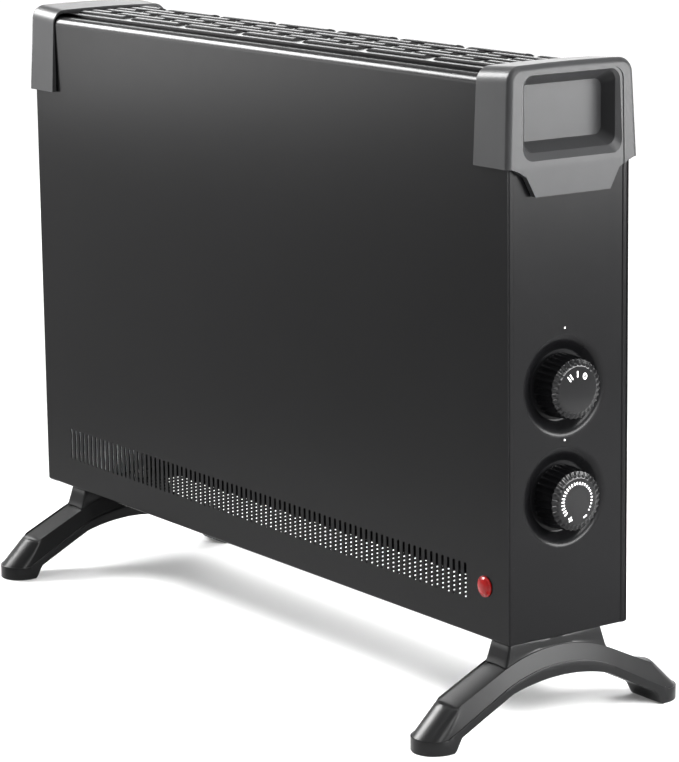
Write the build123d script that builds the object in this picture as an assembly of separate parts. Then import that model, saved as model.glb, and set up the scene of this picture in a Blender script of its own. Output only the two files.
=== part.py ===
from build123d import *
import os
import math

# Convector panel heater on two bridge feet, in millimetres.
# X runs along the front, Y from the front to the back, Z up from the floor.
# The origin is on the floor, under the middle of the overall box.

# Casing
body_width = 573.0
body_depth = 96.0
body_height = 358.7
sheet = 0.7
floor_gap = 59.8
body_set_back = 9.95
hem_depth = 12.0
hem_radius = 1.2
roll_radius = 6.0
grille_rise = 2.4
top_flange_depth = 11.0
joint_gap = 0.3

# Side panels
side_flange = 11.0
side_strip = 4.2
side_step = 0.6
side_bend = 1.4
side_panel_drop = 58.0

# Intake slots on the front and back, and slots in the bottom plate
intake_pitch = 6.0
intake_width = 2.6
intake_low = 22.0
intake_high = 45.4
intake_from_left = 36.6
intake_from_right = 44.4
bottom_slot_pitch = 9.0
bottom_slot_width = 4.8
bottom_slot_inset = 12.45
bottom_slot_margin = 17.0

# Outlet grille with bridge louvres
grille_end_inset = 18.5
grille_side_inset = 11.35
grille_lip_inset = 3.0
grille_margin = 5.0
louvre_row_pitch = 10.6
louvre_pitch = 73.2
louvre_length = 65.0
louvre_width = 6.4
louvre_rise = 1.7
louvre_ramp = 4.0
louvre_crown_radius = 7.0
louvre_slot_width = 7.6

# End caps with the carrying recess
cap_reach = 29.7
cap_proud = 4.9
cap_drop = 57.7
cap_wall_low = 3.6
cap_wall_high = 1.1
cap_lean = 1.8
band_step = 0.6
cap_top_outer = 4.9
cap_top_inner = 2.6
cap_corner_radius = 10.2
cap_panel_gap = 0.15
cap_crown = 0.6
cap_edge_radius = 3.6
cap_top_wall = 2.2
chin_drop = 76.2
chin_inset = 18.45
chin_shoulder_inset = 11.35
chin_knee_inset = 4.95
chin_shoulder_drop = 5.6
chin_knee_drop = 2.0
chin_lap = 6.0
cap_screw_inset = 9.3
cap_screw_drop = 66.5
cap_screw_radius = 1.4
cap_screw_length = 4.0
cap_screw_head = 2.7
recess_side_wall = 8.6
band_width = 7.6
recess_drop_low = 54.1
recess_drop_high = 0.6
recess_depth = 15.5
recess_bevel = 4.0
recess_wall = 2.0
recess_corner = 8.0
throat_inset = 3.6
throat_low = 4.8
throat_high = 2.4
back_inset = 5.4
back_low = 10.4
back_high = 8.4

# Knobs and their dishes
knob_high = 160.7
knob_low = 89.2
knob_axis_y = -2.6
dish_radius = 30.3
dish_floor_radius = 23.0
dish_depth = 6.5
dish_rim = 6.4
dish_edge_radius = 8.0
dish_foot_radius = 2.5
knob_proud = 12.2
knob_gap = 0.6
knob_base_radius = 20.6
knob_rim_radius = 19.4
knob_flat_radius = 14.8
knob_bevel = 1.5
knob_wall = 2.2
knob_flutes = 30
knob_flute_radius = 2.0
knob_flute_depth = 0.8
hub_radius = 5.6
shaft_radius = 3.0
shaft_run_gap = 0.05
shaft_fit_gap = 0.05
bush_radius = 4.7
bush_length = 4.6
bush_hole_gap = 0.25
nut_width = 14.0
nut_height = 2.0

# Rotary switch behind the upper knob
switch_size = 30.0
switch_depth = 18.0
switch_corner = 3.0
switch_wall = 2.0
switch_step = 37.0
switch_tab_reach = 8.0
rotor_radius = 11.0
rotor_depth = 9.0
rotor_gap = 0.4
rotor_notch_radius = 1.6
tab_width = 6.3
tab_thickness = 0.8
tab_length = 8.0
tab_hole_inset = 2.5
tab_hole_radius = 0.8

# Thermostat behind the lower knob
frame_width = 22.0
frame_height = 46.0
frame_sheet = 1.5
frame_corner = 2.0
frame_collar = 3.0
post_radius = 3.0
post_spread = 34.0
ceramic_gap = 9.0
ceramic_depth = 7.0
ceramic_width = 16.0
ceramic_height = 42.0
shaft_inner = 4.0
pin_radius = 1.5
pin_head_radius = 2.5
pin_head_height = 1.2
pin_length = 14.0
pin_travel = 0.6
blade_thickness = 0.4
blade_width = 8.0
blade_spacing = 3.0
blade_tip = 6.0
blade_tail = 7.0
blade_end_spacer = 1.5
spacer_height = 8.0

# Indicator
lamp_from_end = 23.8
lamp_height = 34.0
lens_radius = 6.9
lens_proud = 2.8
lamp_hole_radius = 5.5
holder_length = 20.0
holder_wall = 1.0
lens_rim = 1.0
lens_top_radius = 3.6
lens_stem = 3.0
bulb_start = 2.0
bulb_radius = 3.0
bulb_length = 12.0

# Feet
foot_width = 31.4
foot_length = 208.0
foot_nose_radius = 15.7
right_foot_inset = 9.7
left_foot_inset = 42.5
foot_top_half_width = 11.6
foot_lip_height = 9.6
foot_facet_height = 28.3
foot_facet_y = 78.8
foot_facet_bulge = 5.0
foot_facet_radius = 14.0
arch_top = 54.6
arch_shoulder_gap = 1.5
arch_shoulder_z = 45.2
stripe_mid = 43.7
stripe_shoulder_z = 34.2
stripe_end_y = 86.0
stripe_end_z = 11.8
arch_under = 35.6
arch_under_y = 38.5
arch_under_z = 30.0
heel_y = 79.0
heel_z = 9.5
sole_heel_y = 84.0
neck_width_high = 20.0
neck_width_low = 22.6
neck_inset = 1.25
neck_flare = 9.5
neck_drop = 16.0
neck_lap = 1.2
locating_inset = 2.0
foot_screw_inset = 16.75
foot_screw_radius = 2.4
foot_screw_hole = 2.7
foot_screw_seat = 45.0
screw_head_radius = 4.5
screw_head_height = 3.0
foot_nut_size = 10.0
foot_nut_height = 4.0
pad_length = 22.0
pad_width = 14.0
pad_thickness = 2.0
pad_proud = 0.5
pad_gap = 0.4
pad_shift = 1.5

# Screw drives
cross_width = 0.8
cross_depth = 0.9

# Casing screws on the back
casing_screw_radius = 1.9
casing_screw_length = 8.0
casing_screw_head = 3.6
casing_screw_inset = 6.0
casing_screw_head_height = 2.0
casing_screw_low = 30.0
casing_screw_drop = 88.0
casing_screw_rows = 3

# Heater inside
control_space = 38.5
bracket_inset = 22.5
bracket_height = 205.0
bracket_sheet = 0.8
bracket_foot = 10.0
upright_foot_inset = 2.0
element_heights = (100.0, 160.0)
element_end_gap = 41.0
element_core_radius = 6.5
element_rod_radius = 4.0
element_rod_overhang = 9.0
fin_reach = 24.0
fin_thickness = 2.0
fin_angle = 35.0
fin_rib_place = 16.8
fin_rib_length = 12.0
bush_collar_radius = 9.0
bush_collar_length = 4.0
bush_neck_radius = 6.5
bush_neck_length = 2.3
bush_neck_gap = 0.2
shield_gap = 7.05
shield_sheet = 0.5
shield_low = 55.0
shield_drop = 58.0
shield_tab = 8.0

# Safety cut-out
cutout_height = 230.0
cutout_radius = 8.0
cutout_depth = 9.0
cutout_nose = 3.0
cutout_flange = 31.0
cutout_flange_width = 10.0
cutout_flange_sheet = 1.0
cutout_tab_spread = 8.0
cutout_screw_spread = 24.0
cutout_screw_radius = 1.5
cutout_screw_head = 2.8
cutout_screw_length = 4.6

# Terminal block and cord inlet
terminal_height = 45.0
terminal_length = 34.0
terminal_pitch = 11.3
terminal_width = 18.0
terminal_depth = 14.0
terminal_poles = 3
terminal_wire_x = 5.0
terminal_wire_radius = 1.8
terminal_screw_radius = 2.0
terminal_screw_length = 7.0
inlet_height = 30.0
inlet_bore_radius = 4.0
inlet_neck_radius = 6.5
inlet_flange_radius = 9.5
inlet_flange_thickness = 2.5
inlet_flange_edge = 1.0
inlet_length = 16.0
inlet_hole_gap = 0.2

# Places worked out from the sizes above
half_w = body_width / 2
half_d = body_depth / 2
base = floor_gap
top = base + body_height
roll_top = top - grille_rise
panel_inner = half_d - sheet
plate_top = base + 2 * sheet
side_face = half_w - side_step
side_inner = side_face - sheet
dish_floor = side_face - dish_depth
dish_back = dish_floor - sheet
knob_face = half_w + knob_proud
knob_back = dish_floor + knob_gap
knob_heights = (base + knob_high, base + knob_low)
shaft_end = knob_face - knob_wall - knob_gap
switch_back = dish_back - switch_depth
frame_back = dish_back - frame_sheet
ceramic_front = frame_back - ceramic_gap
pin_head = frame_back - shaft_inner - pin_travel - joint_gap
element_zs = [base + height for height in element_heights]
right_foot_x = half_w - right_foot_inset
left_foot_x = -half_w + left_foot_inset
lamp_x = half_w - lamp_from_end
cap_inner_x = half_w - cap_reach
cap_outer_x = half_w + cap_proud
cap_skirt = top - cap_drop
side_top = top - side_panel_drop
corner_reach = side_strip / 2
grille_end_x = half_w - grille_end_inset
grille_end_y = half_d - grille_side_inset
chin_half_width = half_d - chin_inset
neck_length_high = 2 * (half_d - body_set_back - neck_inset)
neck_length_low = neck_length_high + neck_flare
arch_shoulder_y = neck_length_low / 2 + arch_shoulder_gap
bulkhead_x = half_w - control_space
bracket_x = -half_w + bracket_inset
body_x = (cap_proud - knob_proud) / 2
body_y = body_set_back


# Helpers
def block(x0, x1, y0, y1, z0, z1):
    return Pos(x0, y0, z0) * Box(x1 - x0, y1 - y0, z1 - z0, align=(Align.MIN,) * 3)


def along_x(face, x0, x1):
    return extrude(Plane.YZ.offset(x0) * face, amount=x1 - x0)


def along_y(face, y0, y1):
    return extrude(Plane.XZ.offset(-y1) * face, amount=y1 - y0)


def along_z(face, z0, z1):
    return extrude(Plane.XY.offset(z0) * face, amount=z1 - z0)


def rod_x(x0, x1, y, z, radius):
    return along_x(Pos(y, z) * Circle(radius), x0, x1)


def rod_y(y0, y1, x, z, radius):
    return along_y(Pos(x, z) * Circle(radius), y0, y1)


def rod_z(z0, z1, x, y, radius):
    return along_z(Pos(x, y) * Circle(radius), z0, z1)


def polygon(*points):
    return make_face(Polyline(*points, close=True))


def bent_sheet(points, radii):
    return trace(FilletPolyline(*points, radius=radii), line_width=sheet)


def spread(count, pitch, middle=0.0):
    return [middle + pitch * (i - (count - 1) / 2) for i in range(count)]


def mirrored_x(part):
    return mirror(part, about=Plane.YZ)


def mirrored_y(part):
    return mirror(part, about=Plane.XZ)


# Front and back panels: hem below, rolled edge and flange above
def panel_shell():
    y_mid = half_d - sheet / 2
    section = bent_sheet(
        [
            (-(half_d - hem_depth), base + sheet / 2),
            (-y_mid, base + sheet / 2),
            (-y_mid, roll_top - sheet / 2),
            (-(half_d - roll_radius - top_flange_depth), roll_top - sheet / 2),
        ],
        [hem_radius, roll_radius - sheet / 2],
    )
    shell = along_x(section, -half_w, half_w)
    trims = []
    for side in (-1, 1):
        hem_end = side * (half_w - side_flange - joint_gap)
        hem_far = side * (half_w + 1)
        trims.append(
            block(min(hem_end, hem_far), max(hem_end, hem_far),
                  -panel_inner, 0, base - 1, base + hem_radius + sheet)
        )
        flange_end = side * grille_end_x
        flange_y = -(half_d - roll_radius)
        trims.append(
            block(min(flange_end, hem_far), max(flange_end, hem_far),
                  flange_y, 0, roll_top - roll_radius, roll_top + 1)
        )
    return shell - trims


def intake_cutters():
    slot = SlotOverall(intake_high - intake_low, intake_width, rotation=90)
    z_mid = base + (intake_high + intake_low) / 2
    span = body_width - intake_from_left - intake_from_right
    middle = (intake_from_left - intake_from_right) / 2
    cutters = []
    for x in spread(round(span / intake_pitch) + 1, intake_pitch, middle):
        cutters.append(along_y(Pos(x, z_mid) * slot, -half_d - 1, -panel_inner + 1))
    return cutters


def make_front_panel():
    lamp_hole = rod_y(-half_d - 1, -panel_inner + 1, lamp_x, base + lamp_height, lamp_hole_radius)
    return panel_shell() - intake_cutters() - lamp_hole


def casing_screw_places():
    x = half_w - casing_screw_inset
    pitch = (body_height - casing_screw_drop - casing_screw_low) / (casing_screw_rows - 1)
    return [(s * x, base + casing_screw_low + i * pitch) for s in (-1, 1) for i in range(casing_screw_rows)]


def inlet_x():
    return (bulkhead_x + half_w) / 2


def make_rear_panel():
    panel = mirrored_y(panel_shell() - intake_cutters())
    holes = [
        rod_y(panel_inner - 1, half_d + 1, x, z, casing_screw_radius + joint_gap / 2)
        for x, z in casing_screw_places()
    ]
    inlet = rod_y(panel_inner - 1, half_d + 1, inlet_x(), base + inlet_height,
                  inlet_neck_radius + inlet_hole_gap)
    return panel - holes - inlet


# Side panels: a raised strip by each edge, flanges behind the front and back
def side_outline(inset):
    x_edge = half_w - inset
    x_face = side_face - inset
    y_edge = panel_inner - inset
    y_strip = half_d - side_strip + inset / 2
    y_face = y_strip - side_step
    flange_x = half_w - side_flange
    half = [(flange_x, -y_edge), (x_edge, -y_edge), (x_edge, -y_strip), (x_face, -y_face)]
    return half + [(x, -y) for x, y in reversed(half)]


def bend_corners(face, radius):
    outer = [v for v in face.vertices() if v.X > half_w - corner_reach]
    return fillet([v for v in outer if abs(v.Y) > half_d - corner_reach], radius)


def side_shell():
    outer = bend_corners(polygon(*side_outline(0)), side_bend)
    inner = bend_corners(polygon(*side_outline(sheet)), side_bend - sheet)
    shell = along_z(outer - inner, base, side_top)
    screw_holes = [
        rod_y(panel_inner - 2 * sheet, panel_inner + 1, x, z, casing_screw_radius + shaft_run_gap)
        for x, z in casing_screw_places()
        if x > 0
    ]
    for y, z in cap_screw_places():
        screw_holes.append(rod_x(side_inner - 1, side_face + 1, y, z, cap_screw_radius + shaft_run_gap))
    return shell - screw_holes


def dish_section():
    hole = bush_radius + bush_hole_gap
    rim = dish_radius + dish_rim
    mouth_back = dish_radius + sheet / 2
    floor_back = dish_floor_radius + sheet / 2
    skin = polygon(
        (side_face, rim), (side_face, dish_radius), (dish_floor, dish_floor_radius),
        (dish_floor, hole), (dish_back, hole), (dish_back, floor_back),
        (side_inner, mouth_back), (side_inner, rim))
    rounds = [
        (side_face, dish_radius, dish_edge_radius),
        (side_inner, mouth_back, dish_edge_radius - sheet),
        (dish_floor, dish_floor_radius, dish_foot_radius),
        (dish_back, floor_back, dish_foot_radius + sheet),
    ]
    for x, y, radius in rounds:
        corner = skin.vertices().sort_by_distance((x, y, 0))[0]
        skin = fillet(corner, radius)
    return skin


def make_right_side_panel():
    panel = side_shell()
    for z in knob_heights:
        dish = revolve(dish_section(), axis=Axis.X)
        panel = panel - rod_x(side_inner - 1, half_w + 1, knob_axis_y, z, dish_radius + dish_rim / 2)
        panel = panel + Pos(0, knob_axis_y, z) * dish
    return panel


def make_left_side_panel():
    return mirrored_x(side_shell())


# Bottom plate, resting on the hems
def make_bottom_plate():
    x_end = side_inner - joint_gap
    y_end = panel_inner - sheet - joint_gap
    plate = block(-x_end, x_end, -y_end, y_end, base + sheet, plate_top)
    slot = SlotOverall(body_depth - 2 * bottom_slot_inset, bottom_slot_width, rotation=90)
    each_side = int((-left_foot_x - bottom_slot_margin) / bottom_slot_pitch)
    cutters = []
    for x in spread(2 * each_side + 1, bottom_slot_pitch):
        cutters.append(along_z(Pos(x, 0) * slot, base, plate_top + 1))
    for x, y in foot_screw_places():
        cutters.append(rod_z(base, plate_top + 1, x, y, foot_screw_hole))
    return plate - cutters


# Outlet grille: rows of bridges pressed up from the plate
def bridge_louvre(length):
    half = length / 2
    crown_z = louvre_rise - louvre_crown_radius
    ramp = polygon((-half, -sheet), (half, -sheet), (half, 0), (half - louvre_ramp, louvre_rise),
                   (-half + louvre_ramp, louvre_rise), (-half, 0))
    inner_half = half - sheet
    tunnel = polygon((-inner_half, -sheet), (inner_half, -sheet),
                     (half - louvre_ramp - sheet / 2, louvre_rise - sheet),
                     (-half + louvre_ramp + sheet / 2, louvre_rise - sheet))
    body = along_y(ramp, -louvre_width / 2, louvre_width / 2)
    hollow = along_y(tunnel, -louvre_width / 2, louvre_width / 2)
    crown = rod_x(-half, half, 0, crown_z, louvre_crown_radius)
    crown_inner = rod_x(-half, half, 0, crown_z, louvre_crown_radius - sheet)
    return (body & crown) - (hollow & crown_inner)


def louvre_places():
    limit = cap_inner_x - 1.5
    places = []
    rows = int((2 * grille_end_y - 2 * grille_margin - louvre_width) / louvre_row_pitch) + 1
    for row, y in enumerate(spread(rows, louvre_row_pitch)):
        offset = 0.0 if row % 2 == 0 else louvre_pitch / 2
        reach = int(half_w / louvre_pitch) + 1
        for i in range(-reach, reach + 1):
            low = i * louvre_pitch + offset - louvre_length / 2
            high = low + louvre_length
            low = max(low, -limit)
            high = min(high, limit)
            if high - low > 4 * louvre_ramp:
                places.append(((low + high) / 2, y, high - low))
    return places


def make_top_grille():
    x_end = grille_end_x
    y_lip = grille_end_y - grille_lip_inset
    plate = block(-x_end, x_end, -grille_end_y, grille_end_y, top - sheet, top)
    for side in (-1, 1):
        lip_a = side * y_lip
        lip_b = side * (y_lip - sheet)
        plate += block(-x_end, x_end, min(lip_a, lip_b), max(lip_a, lip_b), roll_top, top - sheet)
    cutters = []
    bridges = []
    for x, y, length in louvre_places():
        slot = Rectangle(length - 2 * sheet, louvre_slot_width)
        cutters.append(along_z(Pos(x, y) * slot, top - 2 * sheet, top + 1))
        bridges.append(Pos(x, y, top) * bridge_louvre(length))
    return (plate - cutters) + bridges


# End caps
def cap_profile(top_z):
    half_low = half_d + cap_wall_low
    half_high = half_d + cap_wall_high
    z_arc = top_z - cap_corner_radius
    y_arc = half_high - cap_corner_radius
    diagonal = cap_corner_radius * math.sqrt(0.5)
    with_arcs = [
        Line((-half_low, cap_skirt), (-half_high, z_arc)),
        ThreePointArc((-half_high, z_arc), (-y_arc - diagonal, z_arc + diagonal), (-y_arc, top_z)),
        ThreePointArc((-y_arc, top_z), (0, top_z + cap_crown), (y_arc, top_z)),
        ThreePointArc((y_arc, top_z), (y_arc + diagonal, z_arc + diagonal), (half_high, z_arc)),
        Line((half_high, z_arc), (half_low, cap_skirt)),
        Line((half_low, cap_skirt), (-half_low, cap_skirt)),
    ]
    return make_face(with_arcs)


def recess_outline(grow, inset, low, high):
    width = 2 * (half_d - recess_side_wall - inset + grow)
    z0 = top - recess_drop_low + low - grow
    z1 = top - recess_drop_high - high + grow
    corner = recess_corner - inset / 2 + grow
    return Pos(0, (z0 + z1) / 2) * RectangleRounded(width, z1 - z0, corner)


def recess_stages(grow):
    mouth = recess_outline(grow, 0, 0, 0)
    throat = recess_outline(grow, throat_inset, throat_low, throat_high)
    back = recess_outline(grow, back_inset, back_low, back_high)
    return mouth, throat, back


def recess_solid(grow, mouth_x, back_x):
    mouth, throat, back = recess_stages(grow)
    x_throat = cap_outer_x - recess_bevel
    x_mouth = cap_outer_x - cap_edge_radius if grow > 0 else cap_outer_x - band_step
    outer = loft([Plane.YZ.offset(x_throat) * throat, Plane.YZ.offset(x_mouth) * mouth], ruled=True)
    inner = loft([Plane.YZ.offset(back_x) * back, Plane.YZ.offset(x_throat) * throat], ruled=True)
    solid = outer + inner
    if mouth_x > cap_outer_x:
        solid += along_x(mouth, x_mouth, mouth_x)
    return solid


def chin_face():
    half = [
        (chin_half_width, top - chin_drop),
        (half_d - chin_shoulder_inset, cap_skirt - chin_shoulder_drop),
        (half_d - chin_knee_inset, cap_skirt - chin_knee_drop),
        (half_d, cap_skirt), (half_d, cap_skirt + chin_lap),
    ]
    return polygon(*half, *[(-y, z) for y, z in reversed(half)])


def cap_cavity():
    y = half_d + cap_panel_gap
    low = cap_skirt - 1
    corner = cap_corner_radius - cap_top_wall
    face = polygon((-y, low), (y, low), (y, top), (-y, top))
    face = fillet(face.vertices().sort_by(Axis.Y)[-2:], corner)
    return along_x(face, cap_inner_x - 1, half_w)


def beyond_lean(inset):
    x = cap_outer_x - inset
    far = cap_outer_x + cap_reach
    high = top + cap_corner_radius
    face = polygon((x, base), (x, cap_skirt), (x - cap_lean, high), (far, high), (far, base))
    return along_y(face, -body_depth, body_depth)


def cap_shell():
    inner = Plane.YZ.offset(cap_inner_x) * cap_profile(top + cap_top_inner)
    outer = Plane.YZ.offset(cap_outer_x) * cap_profile(top + cap_top_outer)
    shell = loft([inner, outer], ruled=True) - beyond_lean(0)
    rim = shell.faces().sort_by(Axis.X)[-1].edges()
    rim = [e for e in rim if e.center().Z > cap_skirt + 1]
    return fillet(rim, cap_edge_radius) - cap_cavity()


def band_inside():
    y = half_d - band_width
    z = top - recess_drop_high
    face = polygon((-y, top - 2 * chin_drop), (y, top - 2 * chin_drop), (y, z), (-y, z))
    face = fillet(face.vertices().sort_by(Axis.Y)[-2:], recess_corner)
    return along_x(face, half_w, cap_outer_x + 1)


def cap_screw_places():
    return [(y, top - cap_screw_drop) for y in spread(2, 2 * (chin_half_width - cap_screw_inset))]


def make_right_handle():
    box_back = cap_outer_x - recess_depth
    chin = along_x(chin_face(), half_w, cap_outer_x) - beyond_lean(0)
    seat = block(side_face, half_w, -chin_half_width, chin_half_width,
                 top - chin_drop, side_top)
    handle = cap_shell() + chin + seat + recess_solid(recess_wall, 0, box_back - recess_wall)
    handle -= band_inside() & beyond_lean(band_step)
    handle -= recess_solid(0.0, cap_outer_x + recess_bevel, box_back)
    for y, z in cap_screw_places():
        handle -= rod_x(side_face - 1, side_inner + cap_screw_length + joint_gap, y, z, cap_screw_radius)
    return handle


def make_handle_screws():
    screws = []
    for y, z in cap_screw_places():
        screw = rod_x(side_inner, side_inner + cap_screw_length, y, z, cap_screw_radius)
        screw += rod_x(side_inner - cap_screw_radius, side_inner, y, z, cap_screw_head)
        slot_x = side_inner - cap_screw_radius
        screw -= block(slot_x - 1, slot_x + cross_depth, y - cap_screw_head, y + cap_screw_head,
                       z - cross_width / 2, z + cross_width / 2)
        screws += [screw, mirrored_x(screw)]
    return screws


# Feet
def foot_screw_places():
    places = []
    for x in (left_foot_x, right_foot_x):
        for y in spread(2, neck_length_high - 2 * foot_screw_inset):
            places.append((x, y - body_set_back))
    return places


def foot_profile(mid_z, shoulder_y, shoulder_z, end_y, end_z):
    far = foot_length / 2 + 1
    upper = [
        Line((far, end_z), (end_y, end_z)),
        Line((end_y, end_z), (shoulder_y, shoulder_z)),
        ThreePointArc((shoulder_y, shoulder_z), (0, mid_z), (-shoulder_y, shoulder_z)),
        Line((-shoulder_y, shoulder_z), (-end_y, end_z)),
        Line((-end_y, end_z), (-far, end_z)),
    ]
    lower = [
        Line((-far, end_z), (-far, 0)),
        Line((-far, 0), (-sole_heel_y, 0)),
        Line((-sole_heel_y, 0), (-heel_y, heel_z)),
        Line((-heel_y, heel_z), (-arch_under_y, arch_under_z)),
        ThreePointArc((-arch_under_y, arch_under_z), (0, arch_under), (arch_under_y, arch_under_z)),
        Line((arch_under_y, arch_under_z), (heel_y, heel_z)),
        Line((heel_y, heel_z), (sole_heel_y, 0)),
        Line((sole_heel_y, 0), (far, 0)),
        Line((far, 0), (far, end_z)),
    ]
    return make_face(upper + lower)


def foot_envelope():
    lip = RectangleRounded(foot_width, foot_length, foot_nose_radius - 0.01)
    facet = RectangleRounded(foot_width, 2 * (foot_facet_y + foot_facet_bulge), foot_facet_radius)
    nose = along_z(lip, 0, foot_lip_height)
    slope = loft([Plane.XY.offset(foot_lip_height) * lip, Plane.XY.offset(foot_facet_height) * facet],
                 ruled=True)
    tall = along_z(facet, foot_facet_height, base)
    return nose + slope + tall


def foot_beam():
    full = foot_profile(arch_top, arch_shoulder_y, arch_shoulder_z, foot_facet_y, foot_facet_height)
    low = foot_profile(stripe_mid, arch_shoulder_y, stripe_shoulder_z, stripe_end_y, stripe_end_z)
    slab = along_x(full, -foot_top_half_width, foot_top_half_width)
    flank = loft([Plane.YZ.offset(foot_top_half_width) * full, Plane.YZ.offset(foot_width / 2) * low],
                 ruled=True)
    return (slab + flank + mirrored_x(flank)) & foot_envelope()


def foot_neck():
    high = Plane.XY.offset(base) * Rectangle(neck_width_high, neck_length_high)
    low = Plane.XY.offset(base - neck_drop) * Rectangle(neck_width_low, neck_length_low)
    neck = loft([low, high], ruled=True)
    z_mid = arch_top - neck_lap
    z_side = arch_shoulder_z - neck_lap
    y = arch_shoulder_y
    below = make_face([
        ThreePointArc((-y, z_side), (0, z_mid), (y, z_side)),
        Polyline((y, z_side), (y, 0), (-y, 0), (-y, z_side)),
    ])
    return neck - along_x(below, -foot_width, foot_width)


def pad_places():
    middle = (foot_length / 2 + sole_heel_y) / 2 - pad_shift
    return (-middle, middle)


def make_foot(x):
    foot = foot_beam() + foot_neck()
    half = neck_width_high / 2
    seat_y0 = -half_d + hem_depth + body_set_back + joint_gap
    seat_y1 = neck_length_high / 2 - locating_inset
    foot += block(-half + locating_inset, half - locating_inset, seat_y0, seat_y1, base - 1, base + sheet)
    for y in spread(2, neck_length_high - 2 * foot_screw_inset):
        foot -= rod_z(0, base + 2, 0, y, foot_screw_hole)
        foot -= rod_z(0, foot_screw_seat, 0, y, screw_head_radius + joint_gap)
    for y in pad_places():
        pocket = SlotOverall(pad_length + pad_gap, pad_width + pad_gap)
        foot -= along_z(Pos(0, y) * pocket, -1, pad_thickness)
    foot -= block(-foot_width, foot_width, -foot_length, foot_length, -1, pad_proud)
    return Pos(x, -body_set_back, 0) * foot


def make_foot_pads():
    outline = SlotOverall(pad_length, pad_width)
    return [
        along_z(Pos(x, y - body_set_back) * outline, 0, pad_thickness)
        for x in (left_foot_x, right_foot_x)
        for y in pad_places()
    ]


def cross_z(x, y, z, reach):
    half = cross_width / 2
    return [
        block(x - reach, x + reach, y - half, y + half, z - 1, z + cross_depth),
        block(x - half, x + half, y - reach, y + reach, z - 1, z + cross_depth),
    ]


def make_foot_screws():
    screws = []
    for x, y in foot_screw_places():
        low = foot_screw_seat - screw_head_height
        head = rod_z(low, foot_screw_seat, x, y, screw_head_radius)
        shank = rod_z(foot_screw_seat, plate_top + foot_nut_height + foot_screw_radius, x, y,
                      foot_screw_radius)
        screws.append(head + shank - cross_z(x, y, low, screw_head_radius / 2))
    return screws


def make_foot_nuts():
    nuts = []
    for x, y in foot_screw_places():
        hexagon = RegularPolygon(foot_nut_size / 2, 6, major_radius=False)
        nut = along_z(Pos(x, y) * hexagon, plate_top, plate_top + foot_nut_height)
        nuts.append(nut - rod_z(plate_top - 1, plate_top + foot_nut_height + 1, x, y,
                                foot_screw_radius + shaft_run_gap))
    return nuts


def cross_y(x, y, z, reach):
    half = cross_width / 2
    return [
        block(x - reach, x + reach, y - cross_depth, y + 1, z - half, z + half),
        block(x - half, x + half, y - cross_depth, y + 1, z - reach, z + reach),
    ]


def make_casing_screws():
    screws = []
    y_top = half_d + casing_screw_head_height
    for x, z in casing_screw_places():
        head = rod_y(half_d, y_top, x, z, casing_screw_head)
        head = fillet(head.edges().sort_by(Axis.Y)[-1], casing_screw_head_height / 2)
        shank = rod_y(half_d - casing_screw_length, half_d, x, z, casing_screw_radius)
        screws.append(head + shank - cross_y(x, y_top, z, casing_screw_radius))
    return screws


# Knobs: a fluted skirt, a bevelled flat face and a hub for the shaft
def knob_flutes_cut():
    radius = knob_base_radius + knob_flute_radius - knob_flute_depth
    cuts = []
    for i in range(knob_flutes):
        angle = 2 * math.pi * i / knob_flutes
        cuts.append(rod_x(knob_back - 1, knob_face, radius * math.cos(angle),
                          radius * math.sin(angle), knob_flute_radius))
    return cuts


def make_knob(z):
    outline = polygon((knob_back, 0), (knob_back, knob_base_radius),
                      (knob_face - knob_bevel, knob_rim_radius), (knob_face, knob_flat_radius),
                      (knob_face, 0))
    knob = revolve(outline, axis=Axis.X) - knob_flutes_cut()
    cup_end = knob_face - knob_wall
    cup = rod_x(knob_back - 1, cup_end, 0, 0, knob_flat_radius - knob_wall / 2)
    hub_start = dish_floor + bush_length + knob_gap
    hub = rod_x(hub_start, cup_end, 0, 0, hub_radius)
    bore = rod_x(hub_start - 1, shaft_end, 0, 0, shaft_radius + shaft_fit_gap)
    return Pos(0, 0, z) * (knob - (cup - hub) - bore)


def make_bush_nuts():
    hexagon = RegularPolygon(nut_width / 2, 6, major_radius=False)
    nuts = []
    for z in knob_heights:
        nut = along_x(Pos(0, z) * hexagon, dish_floor, dish_floor + nut_height)
        nuts.append(nut - rod_x(dish_floor - 1, knob_face, 0, z, bush_radius + shaft_run_gap))
    return nuts


# Rotary switch: housing with a threaded bush, rotor with its shaft, cover and tabs
def switch_face():
    half = switch_size / 2
    return RectangleRounded(2 * half, 2 * half, switch_corner)


def make_switch_housing(z):
    housing = along_x(switch_face(), switch_back, dish_back)
    housing += rod_x(dish_back, dish_floor + bush_length, 0, 0, bush_radius)
    housing -= rod_x(switch_back - 1, switch_back + rotor_depth + rotor_gap, 0, 0,
                     rotor_radius + rotor_gap)
    housing -= rod_x(switch_back - 1, knob_face, 0, 0, shaft_radius + shaft_run_gap)
    return Pos(0, 0, z) * housing


def switch_tab_places():
    return [(y, z) for y in (-switch_tab_reach, switch_tab_reach)
            for z in (-switch_tab_reach, switch_tab_reach)]


def tab_block(x0, x1, y, z):
    return block(x0, x1, y - tab_thickness / 2, y + tab_thickness / 2,
                 z - tab_width / 2, z + tab_width / 2)


def make_switch_cover(z):
    cover = along_x(switch_face(), switch_back - switch_wall, switch_back)
    for y, c in switch_tab_places():
        cover -= tab_block(switch_back - switch_wall - 1, switch_back + 1, y, c)
    return Pos(0, 0, z) * cover


def make_switch_tabs(z):
    tip = switch_back - switch_wall - tab_length
    tabs = []
    for y, c in switch_tab_places():
        hole = rod_y(y - 1, y + 1, tip + tab_hole_inset, c, tab_hole_radius)
        tabs.append(Pos(0, 0, z) * (tab_block(tip, switch_back, y, c) - hole))
    return tabs


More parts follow.
